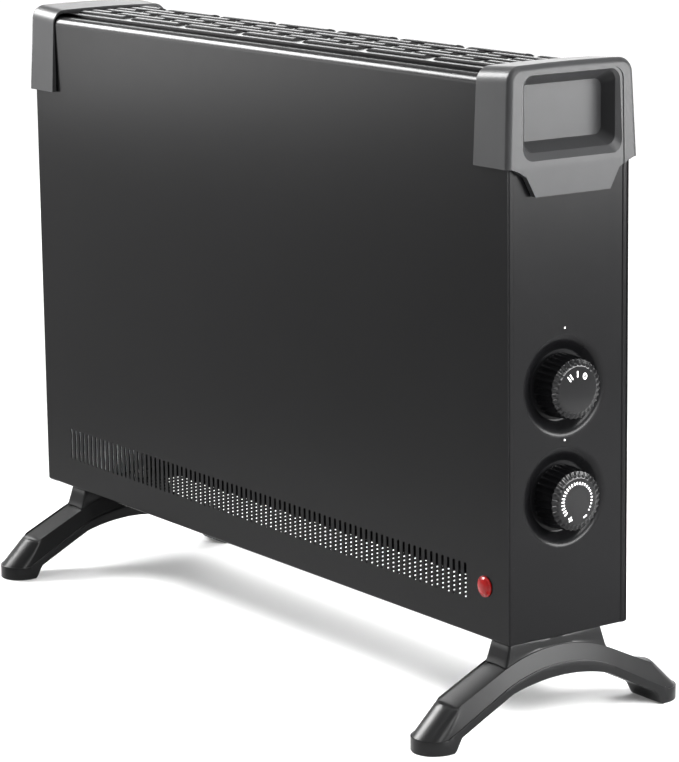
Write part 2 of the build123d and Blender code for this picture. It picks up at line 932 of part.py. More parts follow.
def make_switch_shaft(z):
    x0 = switch_back + rotor_gap
    x1 = switch_back + rotor_depth
    rotor = rod_x(x0, x1, 0, 0, rotor_radius)
    for i in (-1, 0, 1):
        angle = math.radians(180 + i * switch_step)
        rotor -= rod_x(x0 - 1, x1 + 1, rotor_radius * math.cos(angle),
                       rotor_radius * math.sin(angle), rotor_notch_radius)
    return Pos(0, 0, z) * (rotor + rod_x(x0, shaft_end, 0, 0, shaft_radius))


# Thermostat: frame with a bush, ceramic block on posts, blades and the push pin
def make_thermostat_frame(z):
    x0 = frame_back
    frame = along_x(RectangleRounded(frame_width, frame_height, frame_corner), x0, dish_back)
    frame += rod_x(dish_back, dish_floor + bush_length, 0, 0, bush_radius)
    frame += rod_x(x0 - frame_collar, x0, 0, 0, bush_radius)
    for post_z in spread(2, post_spread):
        frame += rod_x(ceramic_front, x0, 0, post_z, post_radius)
    frame -= rod_x(x0 - frame_collar - 1, knob_face, 0, 0, shaft_radius + shaft_run_gap)
    return Pos(0, 0, z) * frame


def make_thermostat_block(z):
    face = RectangleRounded(ceramic_width, ceramic_height, frame_corner)
    ceramic = along_x(face, ceramic_front - ceramic_depth, ceramic_front)
    ceramic -= rod_x(ceramic_front - ceramic_depth - 1, ceramic_front + 1, 0, 0,
                     pin_radius + shaft_run_gap)
    return Pos(0, 0, z) * ceramic


def make_thermostat_pin(z):
    pin = rod_x(pin_head - pin_length, pin_head, 0, 0, pin_radius)
    pin += rod_x(pin_head - pin_head_height, pin_head, 0, 0, pin_head_radius)
    return Pos(0, 0, z) * pin


def blade_fronts():
    first = pin_head - pin_length - pin_travel - joint_gap
    return [first, first - blade_spacing]


def make_thermostat_blades(z):
    low = -ceramic_height / 2
    blades = []
    for front, tip in zip(blade_fronts(), (blade_tip, -blade_tip)):
        blade = block(front - blade_thickness, front, -blade_width / 2, blade_width / 2,
                      low - blade_tail, tip)
        blades.append(Pos(0, 0, z) * blade)
    return blades


def make_blade_spacers(z):
    fronts = blade_fronts()
    low = -ceramic_height / 2
    steps = [ceramic_front - ceramic_depth]
    for front in fronts:
        steps += [front, front - blade_thickness]
    steps.append(steps[-1] - blade_end_spacer)
    return [
        Pos(0, 0, z) * block(steps[i + 1], steps[i], -blade_width / 2, blade_width / 2,
                             low, low + spacer_height)
        for i in range(0, len(steps), 2)
    ]


def make_thermostat_shaft(z):
    return rod_x(frame_back - shaft_inner, shaft_end, 0, z, shaft_radius)


# Indicator: lens in the front panel, holder behind it, bulb inside
def make_indicator_lens():
    z = base + lamp_height
    y0 = -half_d
    lens = rod_y(y0 - lens_rim, y0, lamp_x, z, lens_radius)
    dome_base = Plane.XZ.offset(-y0 + lens_rim) * (Pos(lamp_x, z) * Circle(lens_radius))
    dome_top = Plane.XZ.offset(-y0 + lens_proud) * (Pos(lamp_x, z) * Circle(lens_top_radius))
    lens += loft([dome_base, dome_top], ruled=True)
    lens += rod_y(y0, -panel_inner + lens_stem, lamp_x, z, lamp_hole_radius - joint_gap)
    return lens - rod_y(y0 + sheet, 0, lamp_x, z, bulb_radius + joint_gap)


def make_indicator_holder():
    z = base + lamp_height
    y0 = -panel_inner
    holder = rod_y(y0, y0 + holder_length, lamp_x, z, lamp_hole_radius + holder_wall)
    holder -= rod_y(y0 - 1, y0 + lens_stem, lamp_x, z, lamp_hole_radius)
    return holder - rod_y(y0, y0 + bulb_start + bulb_length, lamp_x, z, bulb_radius + joint_gap)


def make_indicator_bulb():
    y0 = -panel_inner + bulb_start
    bulb = rod_y(y0, y0 + bulb_length, lamp_x, base + lamp_height, bulb_radius)
    return fillet(bulb.edges().sort_by(Axis.Y)[0], bulb_radius - 1)


# Heating elements: finned bars between the bracket and the bulkhead
def element_section():
    section = Circle(element_core_radius)
    for angle in (fin_angle, -fin_angle, 180 - fin_angle, 180 + fin_angle):
        fin = Pos(fin_reach / 2, 0) * Rectangle(fin_reach, fin_thickness)
        rib = Pos(fin_rib_place, 0) * Rectangle(fin_thickness, fin_rib_length)
        section = section + Rot(0, 0, angle) * (fin + rib)
    return section


def make_element(z):
    body = along_x(Pos(0, z) * element_section(), bracket_x + element_end_gap,
                   bulkhead_x - element_end_gap)
    return body + rod_x(bracket_x - element_rod_overhang, bulkhead_x + element_rod_overhang, 0, z,
                        element_rod_radius)


def make_element_bushes():
    bushes = []
    for z in element_zs:
        for x, side in ((bracket_x, 1), (bulkhead_x, -1)):
            collar = x + side * bracket_sheet / 2
            inner = collar + side * bush_collar_length
            outer = collar - side * bush_neck_length
            bush = rod_x(min(collar, inner), max(collar, inner), 0, z, bush_collar_radius)
            bush += rod_x(min(collar, outer), max(collar, outer), 0, z, bush_neck_radius)
            bore = rod_x(min(inner, outer) - 1, max(inner, outer) + 1, 0, z,
                         element_rod_radius + shaft_run_gap)
            bushes.append(bush - bore)
    return bushes


def upright_sheet(x, height, foot_side):
    y_end = panel_inner - joint_gap
    y_foot = y_end - upright_foot_inset
    foot = x + foot_side * bracket_foot
    plate = block(x - bracket_sheet / 2, x + bracket_sheet / 2, -y_end, y_end,
                  plate_top, base + height)
    plate += block(min(x, foot), max(x, foot), -y_foot, y_foot, plate_top, plate_top + bracket_sheet)
    holes = [rod_x(x - 1, x + 1, 0, z, bush_neck_radius + bush_neck_gap) for z in element_zs]
    return plate - holes


def make_element_bracket():
    return upright_sheet(bracket_x, bracket_height, -1)


def make_control_bulkhead():
    plate = upright_sheet(bulkhead_x, body_height - grille_rise - roll_radius - joint_gap, 1)
    z = base + cutout_height
    plate -= rod_x(bulkhead_x - 1, bulkhead_x + 1, 0, z, cutout_radius + joint_gap)
    for y in spread(2, cutout_screw_spread):
        plate -= rod_x(bulkhead_x - 1, bulkhead_x + 1, y, z, cutout_screw_radius + shaft_run_gap)
    return plate


def make_heat_shield():
    x0 = bracket_x + bracket_sheet / 2
    x1 = bulkhead_x - bracket_sheet / 2
    shield_y = panel_inner - shield_gap
    low = base + shield_low
    shield = block(x0, x1, shield_y, shield_y + shield_sheet, low, top - shield_drop)
    for end in (x0, x1 - shield_sheet):
        shield += block(end, end + shield_sheet, shield_y - shield_tab, shield_y, low,
                        base + bracket_height)
    return shield


# Safety cut-out on the bulkhead, with its two screws
def make_thermal_cutout():
    x0 = bulkhead_x + bracket_sheet / 2
    z = base + cutout_height
    x1 = x0 + cutout_depth
    part = rod_x(x0 - cutout_nose, x1, 0, z, cutout_radius)
    part += block(x0, x0 + cutout_flange_sheet, -cutout_flange / 2, cutout_flange / 2,
                  z - cutout_flange_width / 2, z + cutout_flange_width / 2)
    for y in spread(2, cutout_tab_spread):
        part += tab_block(x1, x1 + tab_length, y, z)
    for y in spread(2, cutout_screw_spread):
        part -= rod_x(x0 - 1, x1, y, z, cutout_screw_radius + shaft_run_gap)
    return part


def make_cutout_screws():
    z = base + cutout_height
    x0 = bulkhead_x + bracket_sheet / 2 + cutout_flange_sheet
    x1 = x0 + cutout_screw_radius
    screws = []
    for y in spread(2, cutout_screw_spread):
        screw = rod_x(x0, x1, y, z, cutout_screw_head)
        screw -= block(x1 - cross_depth, x1 + 1, y - cutout_screw_head, y + cutout_screw_head,
                       z - cross_width / 2, z + cross_width / 2)
        screws.append(screw + rod_x(x0 - cutout_screw_length, x0, y, z, cutout_screw_radius))
    return screws


# Terminal block and the cord inlet bush
def make_terminal_block():
    z = base + terminal_height
    x0 = bulkhead_x + bracket_sheet / 2
    body = block(x0, x0 + terminal_depth, -terminal_length / 2, terminal_length / 2,
                 z - terminal_width / 2, z + terminal_width / 2)
    for y in spread(terminal_poles, terminal_pitch):
        body -= rod_z(z - terminal_width, z + terminal_width, x0 + terminal_wire_x, y,
                      terminal_wire_radius)
        body -= rod_x(x0 + terminal_wire_x, x0 + terminal_depth + 1, y, z, terminal_screw_radius)
    return body


def make_terminal_screws():
    z = base + terminal_height
    x0 = bulkhead_x + bracket_sheet / 2 + terminal_wire_x
    x1 = x0 + terminal_screw_length
    screws = []
    for y in spread(terminal_poles, terminal_pitch):
        screw = rod_x(x0, x1, y, z, terminal_screw_radius - shaft_run_gap)
        screws.append(screw - block(x1 - cross_depth, x1 + 1, y - terminal_pitch, y + terminal_pitch,
                                    z - cross_width / 2, z + cross_width / 2))
    return screws


def make_cord_inlet():
    x = inlet_x()
    z = base + inlet_height
    flange = rod_y(half_d, half_d + inlet_flange_thickness, x, z, inlet_flange_radius)
    flange = fillet(flange.edges().sort_by(Axis.Y)[-1], inlet_flange_edge)
    bush = flange + rod_y(half_d - inlet_length, half_d, x, z, inlet_neck_radius)
    return bush - rod_y(half_d - inlet_length - 1, half_d + inlet_length, x, z, inlet_bore_radius)


# Assembly
def on_knob_axis(shape):
    if isinstance(shape, list):
        return [on_knob_axis(item) for item in shape]
    return Pos(0, knob_axis_y, 0) * shape


def build_controls():
    high, low = knob_heights
    controls = {
        "power_knob": make_knob(high),
        "power_switch_shaft": make_switch_shaft(high),
        "power_switch_housing": make_switch_housing(high),
        "power_switch_cover": make_switch_cover(high),
        "power_switch_tabs": make_switch_tabs(high),
        "thermostat_knob": make_knob(low),
        "thermostat_shaft": make_thermostat_shaft(low),
        "thermostat_frame": make_thermostat_frame(low),
        "thermostat_block": make_thermostat_block(low),
        "thermostat_blades": make_thermostat_blades(low),
        "thermostat_spacers": make_blade_spacers(low),
        "thermostat_pin": make_thermostat_pin(low),
        "bush_nuts": make_bush_nuts(),
    }
    return {name: on_knob_axis(shape) for name, shape in controls.items()}


def build_parts():
    right_handle = make_right_handle()
    return build_controls() | {
        "front_panel": make_front_panel(),
        "rear_panel": make_rear_panel(),
        "left_side_panel": make_left_side_panel(),
        "right_side_panel": make_right_side_panel(),
        "bottom_plate": make_bottom_plate(),
        "top_grille": make_top_grille(),
        "left_handle": mirrored_x(right_handle),
        "right_handle": right_handle,
        "handle_screws": make_handle_screws(),
        "left_foot": make_foot(left_foot_x),
        "right_foot": make_foot(right_foot_x),
        "foot_pads": make_foot_pads(),
        "foot_screws": make_foot_screws(),
        "foot_nuts": make_foot_nuts(),
        "casing_screws": make_casing_screws(),
        "indicator_lens": make_indicator_lens(),
        "indicator_holder": make_indicator_holder(),
        "indicator_bulb": make_indicator_bulb(),
        "lower_heating_element": make_element(element_zs[0]),
        "upper_heating_element": make_element(element_zs[1]),
        "element_bushes": make_element_bushes(),
        "element_bracket": make_element_bracket(),
        "control_bulkhead": make_control_bulkhead(),
        "heat_shield": make_heat_shield(),
        "thermal_cutout": make_thermal_cutout(),
        "cutout_screws": make_cutout_screws(),
        "terminal_block": make_terminal_block(),
        "terminal_screws": make_terminal_screws(),
        "cord_inlet": make_cord_inlet(),
    }


def solids_of(shape):
    if isinstance(shape, list):
        return [s for item in shape for s in solids_of(item)]
    return list(shape.solids())


os.makedirs("parts", exist_ok=True)
for name, shape in build_parts().items():
    placed = [Pos(body_x, body_y, 0) * s for s in solids_of(shape)]
    whole = placed[0] if len(placed) == 1 else Compound(children=placed)
    export_step(whole, f"parts/{name}.step")
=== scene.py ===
import math

import bmesh
import bpy
from mathutils import Matrix, Quaternion, Vector


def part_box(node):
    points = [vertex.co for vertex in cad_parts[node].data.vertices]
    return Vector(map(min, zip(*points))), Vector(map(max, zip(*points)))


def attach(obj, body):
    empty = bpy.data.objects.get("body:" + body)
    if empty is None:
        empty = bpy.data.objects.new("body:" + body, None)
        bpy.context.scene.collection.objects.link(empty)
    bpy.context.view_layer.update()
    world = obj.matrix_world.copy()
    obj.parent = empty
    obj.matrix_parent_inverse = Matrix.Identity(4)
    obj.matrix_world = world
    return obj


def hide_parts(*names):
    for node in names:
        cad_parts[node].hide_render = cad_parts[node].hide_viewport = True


bl_info = {
    "name": "Convector panel heater",
    "version": (1, 0, 0),
    "blender": (4, 5, 0),
    "location": "3D View > Sidebar > Heater",
    "description": "Finishes the heater's frame with modelled plastics, knobs, lamp, paint and a studio",
    "category": "Object",
}

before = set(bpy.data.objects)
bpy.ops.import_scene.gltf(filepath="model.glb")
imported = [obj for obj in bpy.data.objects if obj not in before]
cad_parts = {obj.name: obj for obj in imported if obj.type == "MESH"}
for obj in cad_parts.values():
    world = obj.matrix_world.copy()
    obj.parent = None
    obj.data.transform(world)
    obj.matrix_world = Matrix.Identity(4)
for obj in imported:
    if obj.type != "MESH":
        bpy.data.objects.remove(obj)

MM = 0.001


# Settings that a user would change
class HeaterSizes(bpy.types.PropertyGroup):
    knob_flutes: bpy.props.IntProperty(
        name="Knob flutes", description="Grip flutes round each knob", default=30, min=12, max=60)
    flute_depth: bpy.props.FloatProperty(
        name="Flute depth", description="Depth of a grip flute", default=0.75 * MM, unit="LENGTH")
    mark_stroke: bpy.props.FloatProperty(
        name="Mark stroke", description="Width of the printed strokes on the knobs", default=0.95 * MM,
        unit="LENGTH")
    mark_height: bpy.props.FloatProperty(
        name="Mark height", description="Height of the heat step marks", default=4.2 * MM, unit="LENGTH")
    scale_ticks: bpy.props.IntProperty(
        name="Scale ticks", description="Ticks on the thermostat knob", default=25, min=5, max=60)
    pointer_radius: bpy.props.FloatProperty(
        name="Pointer dot radius", description="Radius of the white dot above each knob", default=0.6 * MM,
        unit="LENGTH")
    lens_facets: bpy.props.IntProperty(
        name="Lens facets", description="Facets round the lamp lens", default=12, min=6, max=24)
    foot_lip: bpy.props.FloatProperty(
        name="Foot lip", description="Width of the ledge round each foot", default=0.9 * MM, unit="LENGTH")


class HeaterColours(bpy.types.PropertyGroup):
    paint: bpy.props.FloatVectorProperty(
        name="Casing paint", description="Powder coat of the sheet metal", subtype="COLOR",
        default=(0.003, 0.003, 0.0033), min=0, max=1)
    cap_plastic: bpy.props.FloatVectorProperty(
        name="End caps", description="Plastic of the two end caps", subtype="COLOR",
        default=(0.0225, 0.0227, 0.0235), min=0, max=1)
    foot_plastic: bpy.props.FloatVectorProperty(
        name="Feet", description="Plastic of the two feet", subtype="COLOR",
        default=(0.0042, 0.0043, 0.0045), min=0, max=1)
    knob_plastic: bpy.props.FloatVectorProperty(
        name="Knobs", description="Plastic of the two knobs", subtype="COLOR",
        default=(0.003, 0.003, 0.0033), min=0, max=1)
    marks: bpy.props.FloatVectorProperty(
        name="Printed marks", description="Ink of the marks, ticks and pointer dots", subtype="COLOR",
        default=(0.86, 0.86, 0.85), min=0, max=1)
    lens: bpy.props.FloatVectorProperty(
        name="Lamp lens", description="Red plastic of the lens", subtype="COLOR",
        default=(0.22, 0.001, 0.001), min=0, max=1)
    floor: bpy.props.FloatVectorProperty(
        name="Floor", description="Pale studio floor", subtype="COLOR", default=(0.82, 0.82, 0.82),
        min=0, max=1)


class HeaterStudio(bpy.types.PropertyGroup):
    roll_light: bpy.props.FloatProperty(
        name="Roll light", description="Brightness of the high softbox on the left, where 1 is white",
        default=60.0, min=0)
    panel_light: bpy.props.FloatProperty(
        name="Panel light", description="Brightness of the low softbox on the left", default=6.4, min=0)
    knob_light: bpy.props.FloatProperty(
        name="Knob light", description="Brightness of the small softbox above the knobs", default=45.0, min=0)
    key_light: bpy.props.FloatProperty(
        name="Key light", description="Brightness of the long softbox over the right side",
        default=40.0, min=0)
    right_light: bpy.props.FloatProperty(
        name="Right light", description="Brightness of the softbox on the right", default=49.0, min=0)
    rear_light: bpy.props.FloatProperty(
        name="Rear light", description="Brightness of the softbox behind the heater", default=3.0, min=0)
    overhead_light: bpy.props.FloatProperty(
        name="Overhead light", description="Strength of the wide light from above", default=2.1, min=0)
    overhead_spread: bpy.props.FloatProperty(
        name="Overhead spread", description="Width of the overhead light as seen from the floor",
        default=math.radians(45), subtype="ANGLE")
    fill_level: bpy.props.FloatProperty(
        name="Fill", description="Strength of the room's own light", default=0.1, min=0, max=1)
    near_glow: bpy.props.FloatProperty(
        name="Floor glow, near", description="White that the floor shows in full shadow by the heater",
        default=0.1, min=0, max=1)
    far_glow: bpy.props.FloatProperty(
        name="Floor glow, far", description="White that the floor adds away from the heater", default=0.42,
        min=0, max=1)
    lens_length: bpy.props.FloatProperty(
        name="Camera lens", description="Focal length for a 36 mm sensor", default=150.6, min=10)
    azimuth: bpy.props.FloatProperty(
        name="Camera azimuth", description="Turn of the camera round the heater",
        default=math.radians(55.076), subtype="ANGLE")
    elevation: bpy.props.FloatProperty(
        name="Camera elevation", description="Camera angle above the horizon",
        default=math.radians(11.752), subtype="ANGLE")
    roll: bpy.props.FloatProperty(
        name="Camera roll", description="Lean of the camera", default=math.radians(-0.752), subtype="ANGLE")


def sizes():
    return bpy.context.scene.heater_sizes


def colours():
    return bpy.context.scene.heater_colours


def studio():
    return bpy.context.scene.heater_studio


# Materials: a shader, its grain and its uneven finish
def blank_material(name):
    material = bpy.data.materials.new(name)
    material.use_nodes = True
    return material, material.node_tree, material.node_tree.nodes["Principled BSDF"]


def node(tree, kind, **values):
    made = tree.nodes.new(kind)
    for key, value in values.items():
        if key in made.inputs:
            made.inputs[key].default_value = value
        else:
            setattr(made, key, value)
    return made


def object_space(tree, stretch=(1, 1, 1)):
    place = tree.nodes.new("ShaderNodeTexCoord")
    mapping = tree.nodes.new("ShaderNodeMapping")
    mapping.inputs["Scale"].default_value = stretch
    tree.links.new(place.outputs["Object"], mapping.inputs["Vector"])
    return mapping.outputs["Vector"]


def noise(tree, size, detail=2.0, stretch=(1, 1, 1), rough=0.5):
    made = node(tree, "ShaderNodeTexNoise", Scale=1 / size, Detail=detail, Roughness=rough)
    tree.links.new(object_space(tree, stretch), made.inputs["Vector"])
    return made.outputs["Fac"]


def cells(tree, size, feature="F1", stretch=(1, 1, 1)):
    made = node(tree, "ShaderNodeTexVoronoi", Scale=1 / size)
    made.feature = feature
    tree.links.new(object_space(tree, stretch), made.inputs["Vector"])
    return made.outputs["Distance"]


def remap(tree, fac, low, high, out_low, out_high):
    made = node(tree, "ShaderNodeMapRange")
    for i, value in enumerate((low, high, out_low, out_high)):
        made.inputs[i + 1].default_value = value
    tree.links.new(fac, made.inputs[0])
    return made.outputs[0]


def blend_colours(tree, fac, first, second):
    ramp = tree.nodes.new("ShaderNodeValToRGB")
    ramp.color_ramp.elements[0].color = (*first, 1)
    ramp.color_ramp.elements[1].color = (*second, 1)
    tree.links.new(fac, ramp.inputs["Fac"])
    return ramp.outputs["Color"]


def raise_bump(tree, shader, height, depth, under=None):
    bump = node(tree, "ShaderNodeBump", Distance=depth)
    tree.links.new(height, bump.inputs["Height"])
    if under:
        tree.links.new(under, bump.inputs["Normal"])
    tree.links.new(bump.outputs["Normal"], shader.inputs["Normal"])
    return bump.outputs["Normal"]


def scaled(colour, factor):
    return tuple(min(1.0, c * factor) for c in colour)


def mottled(tree, shader, colour, patch, spread, rough_low, rough_high):
    """Tints the colour in patches, by its spread either way, and varies the roughness in finer ones."""
    fac = noise(tree, patch, detail=3)
    tinted = blend_colours(tree, remap(tree, fac, 0.3, 0.7, 0, 1), scaled(colour, 1 - spread),
                           scaled(colour, 1 + spread))
    tree.links.new(tinted, shader.inputs["Base Color"])
    fine = noise(tree, patch / 6, detail=4)
    tree.links.new(remap(tree, fine, 0.3, 0.7, rough_low, rough_high), shader.inputs["Roughness"])


def powder_coat():
    material, tree, shader = blank_material("satin_powder_coat")
    mottled(tree, shader, colours().paint, 60 * MM, 0.08, 0.25, 0.27)
    shader.inputs["Specular IOR Level"].default_value = 0.075
    peel = raise_bump(tree, shader, noise(tree, 1.1 * MM, detail=1), 0.006 * MM)
    raise_bump(tree, shader, cells(tree, 0.45 * MM), 0.004 * MM, under=peel)
    return material


def grained_plastic(name, colour, rough, grain, depth, specular=0.5):
    material, tree, shader = blank_material(name)
    mottled(tree, shader, colour, 25 * MM, 0.06, rough - 0.01, rough + 0.02)
    shader.inputs["Specular IOR Level"].default_value = specular
    broad = raise_bump(tree, shader, noise(tree, 9 * MM, detail=1), 0.01 * MM)
    raise_bump(tree, shader, noise(tree, grain, detail=3, rough=0.6), depth, under=broad)
    return material


def glossy_plastic():
    material, tree, shader = blank_material("glossy_knob_plastic")
    mottled(tree, shader, colours().knob_plastic, 8 * MM, 0.1, 0.12, 0.17)
    shader.inputs["Specular IOR Level"].default_value = 0.16
    raise_bump(tree, shader, noise(tree, 0.6 * MM, detail=2), 0.004 * MM)
    return material


def printed_ink():
    material, tree, shader = blank_material("white_printed_ink")
    mottled(tree, shader, colours().marks, 0.8 * MM, 0.05, 0.42, 0.55)
    raise_bump(tree, shader, noise(tree, 0.25 * MM, detail=2), 0.004 * MM)
    return material


def lens_plastic():
    material, tree, shader = blank_material("red_lens_plastic")
    mottled(tree, shader, colours().lens, 4 * MM, 0.12, 0.05, 0.09)
    shader.inputs["Specular IOR Level"].default_value = 0.15
    shader.inputs["Transmission Weight"].default_value = 0.1
    shader.inputs["IOR"].default_value = 1.49
    raise_bump(tree, shader, noise(tree, 1.5 * MM, detail=1), 0.003 * MM)
    return material


def clear_glass():
    material, tree, shader = blank_material("bulb_glass")
    mottled(tree, shader, (0.93, 0.92, 0.9), 5 * MM, 0.03, 0.02, 0.06)
    shader.inputs["Transmission Weight"].default_value = 0.9
    shader.inputs["IOR"].default_value = 1.48
    return material


def metal(name, colour, rough, grain, stretch=(1, 1, 1), depth=0.008 * MM):
    material, tree, shader = blank_material(name)
    shader.inputs["Metallic"].default_value = 1.0
    mottled(tree, shader, colour, 6 * MM, 0.12, rough - 0.05, rough + 0.08)
    raise_bump(tree, shader, noise(tree, grain, detail=3, stretch=stretch), depth)
    return material


def galvanised_sheet():
    material, tree, shader = blank_material("galvanised_sheet")
    shader.inputs["Metallic"].default_value = 1.0
    flake = node(tree, "ShaderNodeTexVoronoi", Scale=1 / (7 * MM))
    tree.links.new(object_space(tree), flake.inputs["Vector"])
    spangle = node(tree, "ShaderNodeSeparateColor")
    tree.links.new(flake.outputs["Color"], spangle.inputs["Color"])
    tree.links.new(blend_colours(tree, spangle.outputs["Red"], (0.42, 0.43, 0.44), (0.62, 0.63, 0.64)),
                   shader.inputs["Base Color"])
    tree.links.new(remap(tree, spangle.outputs["Green"], 0, 1, 0.3, 0.5), shader.inputs["Roughness"])
    raise_bump(tree, shader, noise(tree, 0.5 * MM, detail=3), 0.006 * MM)
    return material


def unglazed_ceramic():
    material, tree, shader = blank_material("unglazed_ceramic")
    mottled(tree, shader, (0.74, 0.71, 0.64), 3 * MM, 0.08, 0.7, 0.85)
    raise_bump(tree, shader, cells(tree, 0.4 * MM), 0.02 * MM)
    return material


def soft_rubber():
    material, tree, shader = blank_material("pad_rubber")
    mottled(tree, shader, (0.02, 0.02, 0.02), 3 * MM, 0.15, 0.75, 0.9)
    raise_bump(tree, shader, noise(tree, 0.35 * MM, detail=3), 0.03 * MM)
    return material


def repaint(material, *names):
    for name in names:
        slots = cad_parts[name].data.materials
        slots.clear()
        slots.append(material)


# Meshes: skins over rings of points, and prisms
def mesh_object(name, mesh, material):
    made = bpy.data.objects.new(name, mesh)
    bpy.context.scene.collection.objects.link(made)
    mesh.materials.append(material)
    return made


def settle(piece, body, slot, *replaced):
    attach(piece, body)
    if replaced:
        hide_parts(*replaced)
    return piece


def smooth_by_angle(mesh, degrees):
    limit = math.radians(degrees)
    form = bmesh.new()
    form.from_mesh(mesh)
    bmesh.ops.recalc_face_normals(form, faces=form.faces)
    for face in form.faces:
        face.smooth = True
    for edge in form.edges:
        sharp = len(edge.link_faces) == 2 and edge.calc_face_angle(0.0) > limit
        edge.smooth = not sharp
    form.to_mesh(mesh)
    form.free()


def ring_mesh(name, rings, degrees=35, closed_ends=True):
    form = bmesh.new()
    rows = [[form.verts.new(p) for p in ring] for ring in rings]
    count = len(rows[0])
    for low, high in zip(rows, rows[1:]):
        for i in range(count):
            j = (i + 1) % count
            form.faces.new((low[i], low[j], high[j], high[i]))
    if closed_ends:
        form.faces.new(rows[0])
        form.faces.new(rows[-1])
    mesh = bpy.data.meshes.new(name)
    form.to_mesh(mesh)
    form.free()
    smooth_by_angle(mesh, degrees)
    return mesh


def joined(name, meshes):
    form = bmesh.new()
    for mesh in meshes:
        form.from_mesh(mesh)
        bpy.data.meshes.remove(mesh)
    whole = bpy.data.meshes.new(name)
    form.to_mesh(whole)
    form.free()
    return whole


def prism(outline, place, low, high):
    bottom = [place(u, v, low) for u, v in outline]
    top = [place(u, v, high) for u, v in outline]
    return ring_mesh("prism", [bottom, top], degrees=30)


def arc(centre, radius, start, end, count):
    steps = [start + (end - start) * i / count for i in range(count + 1)]
    return [(centre[0] + radius * math.cos(a), centre[1] + radius * math.sin(a)) for a in steps]


def ease(value, low, high):
    t = min(1.0, max(0.0, (value - low) / (high - low)))
    return t * t * (3 - 2 * t)


def soft_min(a, b, reach):
    gap = max(0.0, reach - abs(a - b)) / reach
    return min(a, b) - gap * gap * reach / 4


# Knobs: fluted skirt, bevelled rim, flat face, hollow inside with a hub
KNOB_BASE = 20.6 * MM
KNOB_RIM = 19.4 * MM
KNOB_FLAT = 14.8 * MM
KNOB_BEVEL = 1.5 * MM
KNOB_WALL = 2.2 * MM
# Rounded edges in millimetres: distance from the back, the bevel or the face, then inset. The back's rows
# end with the share of the flute depth.
BACK_EDGE = ((0.0, 0.5, 0.3), (0.15, 0.15, 0.7), (0.5, 0.0, 1.0))
RIM_EDGE = ((0.6, 0.0), (0.25, 0.08), (0.0, 0.3), (-0.12, 0.65))
FACE_EDGE = ((0.1, -0.25), (0.03, 0.1), (0.0, 0.5))
SKIRT_ROWS = 9
BEVEL_ROWS = 8
BEVEL_FADE = 0.55
FLUTE_POINTS = 14
FLUTE_WIDTH = 0.82
FLUTE_ROUNDING = 0.85
HUB_RADIUS = 5.6 * MM
HUB_BORE = 3.06 * MM
HUB_BORE_END = KNOB_WALL + 0.6 * MM
HUB_SETBACK = 4.6 * MM
PRINT_HEIGHT = 0.05 * MM


def knob_profile(height):
    """Depth below the face, radius and share of the flute depth, from the back edge to the face."""
    points = [(height - rise * MM, KNOB_BASE - inset * MM, share) for rise, inset, share in BACK_EDGE]
    rim = [(KNOB_BEVEL + drop * MM, KNOB_RIM - inset * MM, 1.0) for drop, inset in RIM_EDGE]
    face = [(drop * MM, KNOB_FLAT - inset * MM, 0.0) for drop, inset in FACE_EDGE]
    skirt_start, skirt_end = points[-1][0], rim[0][0]
    for i in range(1, SKIRT_ROWS):
        share = i / SKIRT_ROWS
        depth = skirt_start + (skirt_end - skirt_start) * share
        points.append((depth, KNOB_BASE + (KNOB_RIM - KNOB_BASE) * share, 1.0))
    points += rim
    for i in range(1, BEVEL_ROWS):
        share = i / BEVEL_ROWS
        depth = rim[-1][0] * (1 - share) + face[0][0] * share
        radius = rim[-1][1] * (1 - share) + face[0][1] * share
        points.append((depth, radius, 1 - ease(share, BEVEL_FADE, 1.0)))
    return points + face[1:]


def knob_groove(angle, flutes):
    """How deep the flute is at this angle, from 0 on a rib to 1 at its middle."""
    period = 2 * math.pi / flutes
    off = abs((angle + period / 2) % period - period / 2) / (period / 2)
    return max(0.0, 1 - (off / FLUTE_WIDTH) ** 2) ** FLUTE_ROUNDING


def knob_mesh(name, centre, face_x, height):
    flutes = sizes().knob_flutes
    depth = sizes().flute_depth
    count = flutes * FLUTE_POINTS
    angles = [2 * math.pi * i / count for i in range(count)]
    hub_start = height - HUB_SETBACK
    cup = KNOB_FLAT - KNOB_WALL / 2
    inside = [(HUB_BORE_END, HUB_BORE), (hub_start, HUB_BORE), (hub_start, HUB_RADIUS),
              (KNOB_WALL, HUB_RADIUS), (KNOB_WALL, cup), (height, cup)]
    rings = []
    for drop, radius in inside:
        rings.append([(face_x - drop, centre.y + radius * math.cos(a), centre.z + radius * math.sin(a))
                      for a in angles])
    profile = knob_profile(height)
    for i, (drop, radius, share) in enumerate(profile):
        before = profile[max(i - 1, 0)]
        after = profile[min(i + 1, len(profile) - 1)]
        along = Vector((before[0] - after[0], after[1] - before[1], 0)).normalized()
        outward = Vector((-along.y, along.x, 0))
        ring = []
        for angle in angles:
            cut = depth * share * knob_groove(angle, flutes)
            x = face_x - drop - cut * outward.x
            r = radius - cut * outward.y
            ring.append((x, centre.y + r * math.cos(angle), centre.z + r * math.sin(angle)))
        rings.append(ring)
    return ring_mesh(name, rings, degrees=38)


def on_face(centre, face_x):
    """Places a point of the face, u to the rear and v up, at a height above the face."""
    return lambda u, v, height: (face_x + height, centre.y + u, centre.z + v)


def turned(outline, angle):
    """Turns an outline clockwise, as seen from outside."""
    c, s = math.cos(angle), math.sin(angle)
    return [(u * c + v * s, -u * s + v * c) for u, v in outline]


STROKE_END_STEPS = 5
OVAL_POINTS = 36


def stroke(u0, v0, u1, v1, width):
    """A straight stroke with rounded ends."""
    along = math.atan2(v1 - v0, u1 - u0)
    half = width / 2
    return (arc((u1, v1), half, along - math.pi / 2, along + math.pi / 2, STROKE_END_STEPS)
            + arc((u0, v0), half, along + math.pi / 2, along + 3 * math.pi / 2, STROKE_END_STEPS))


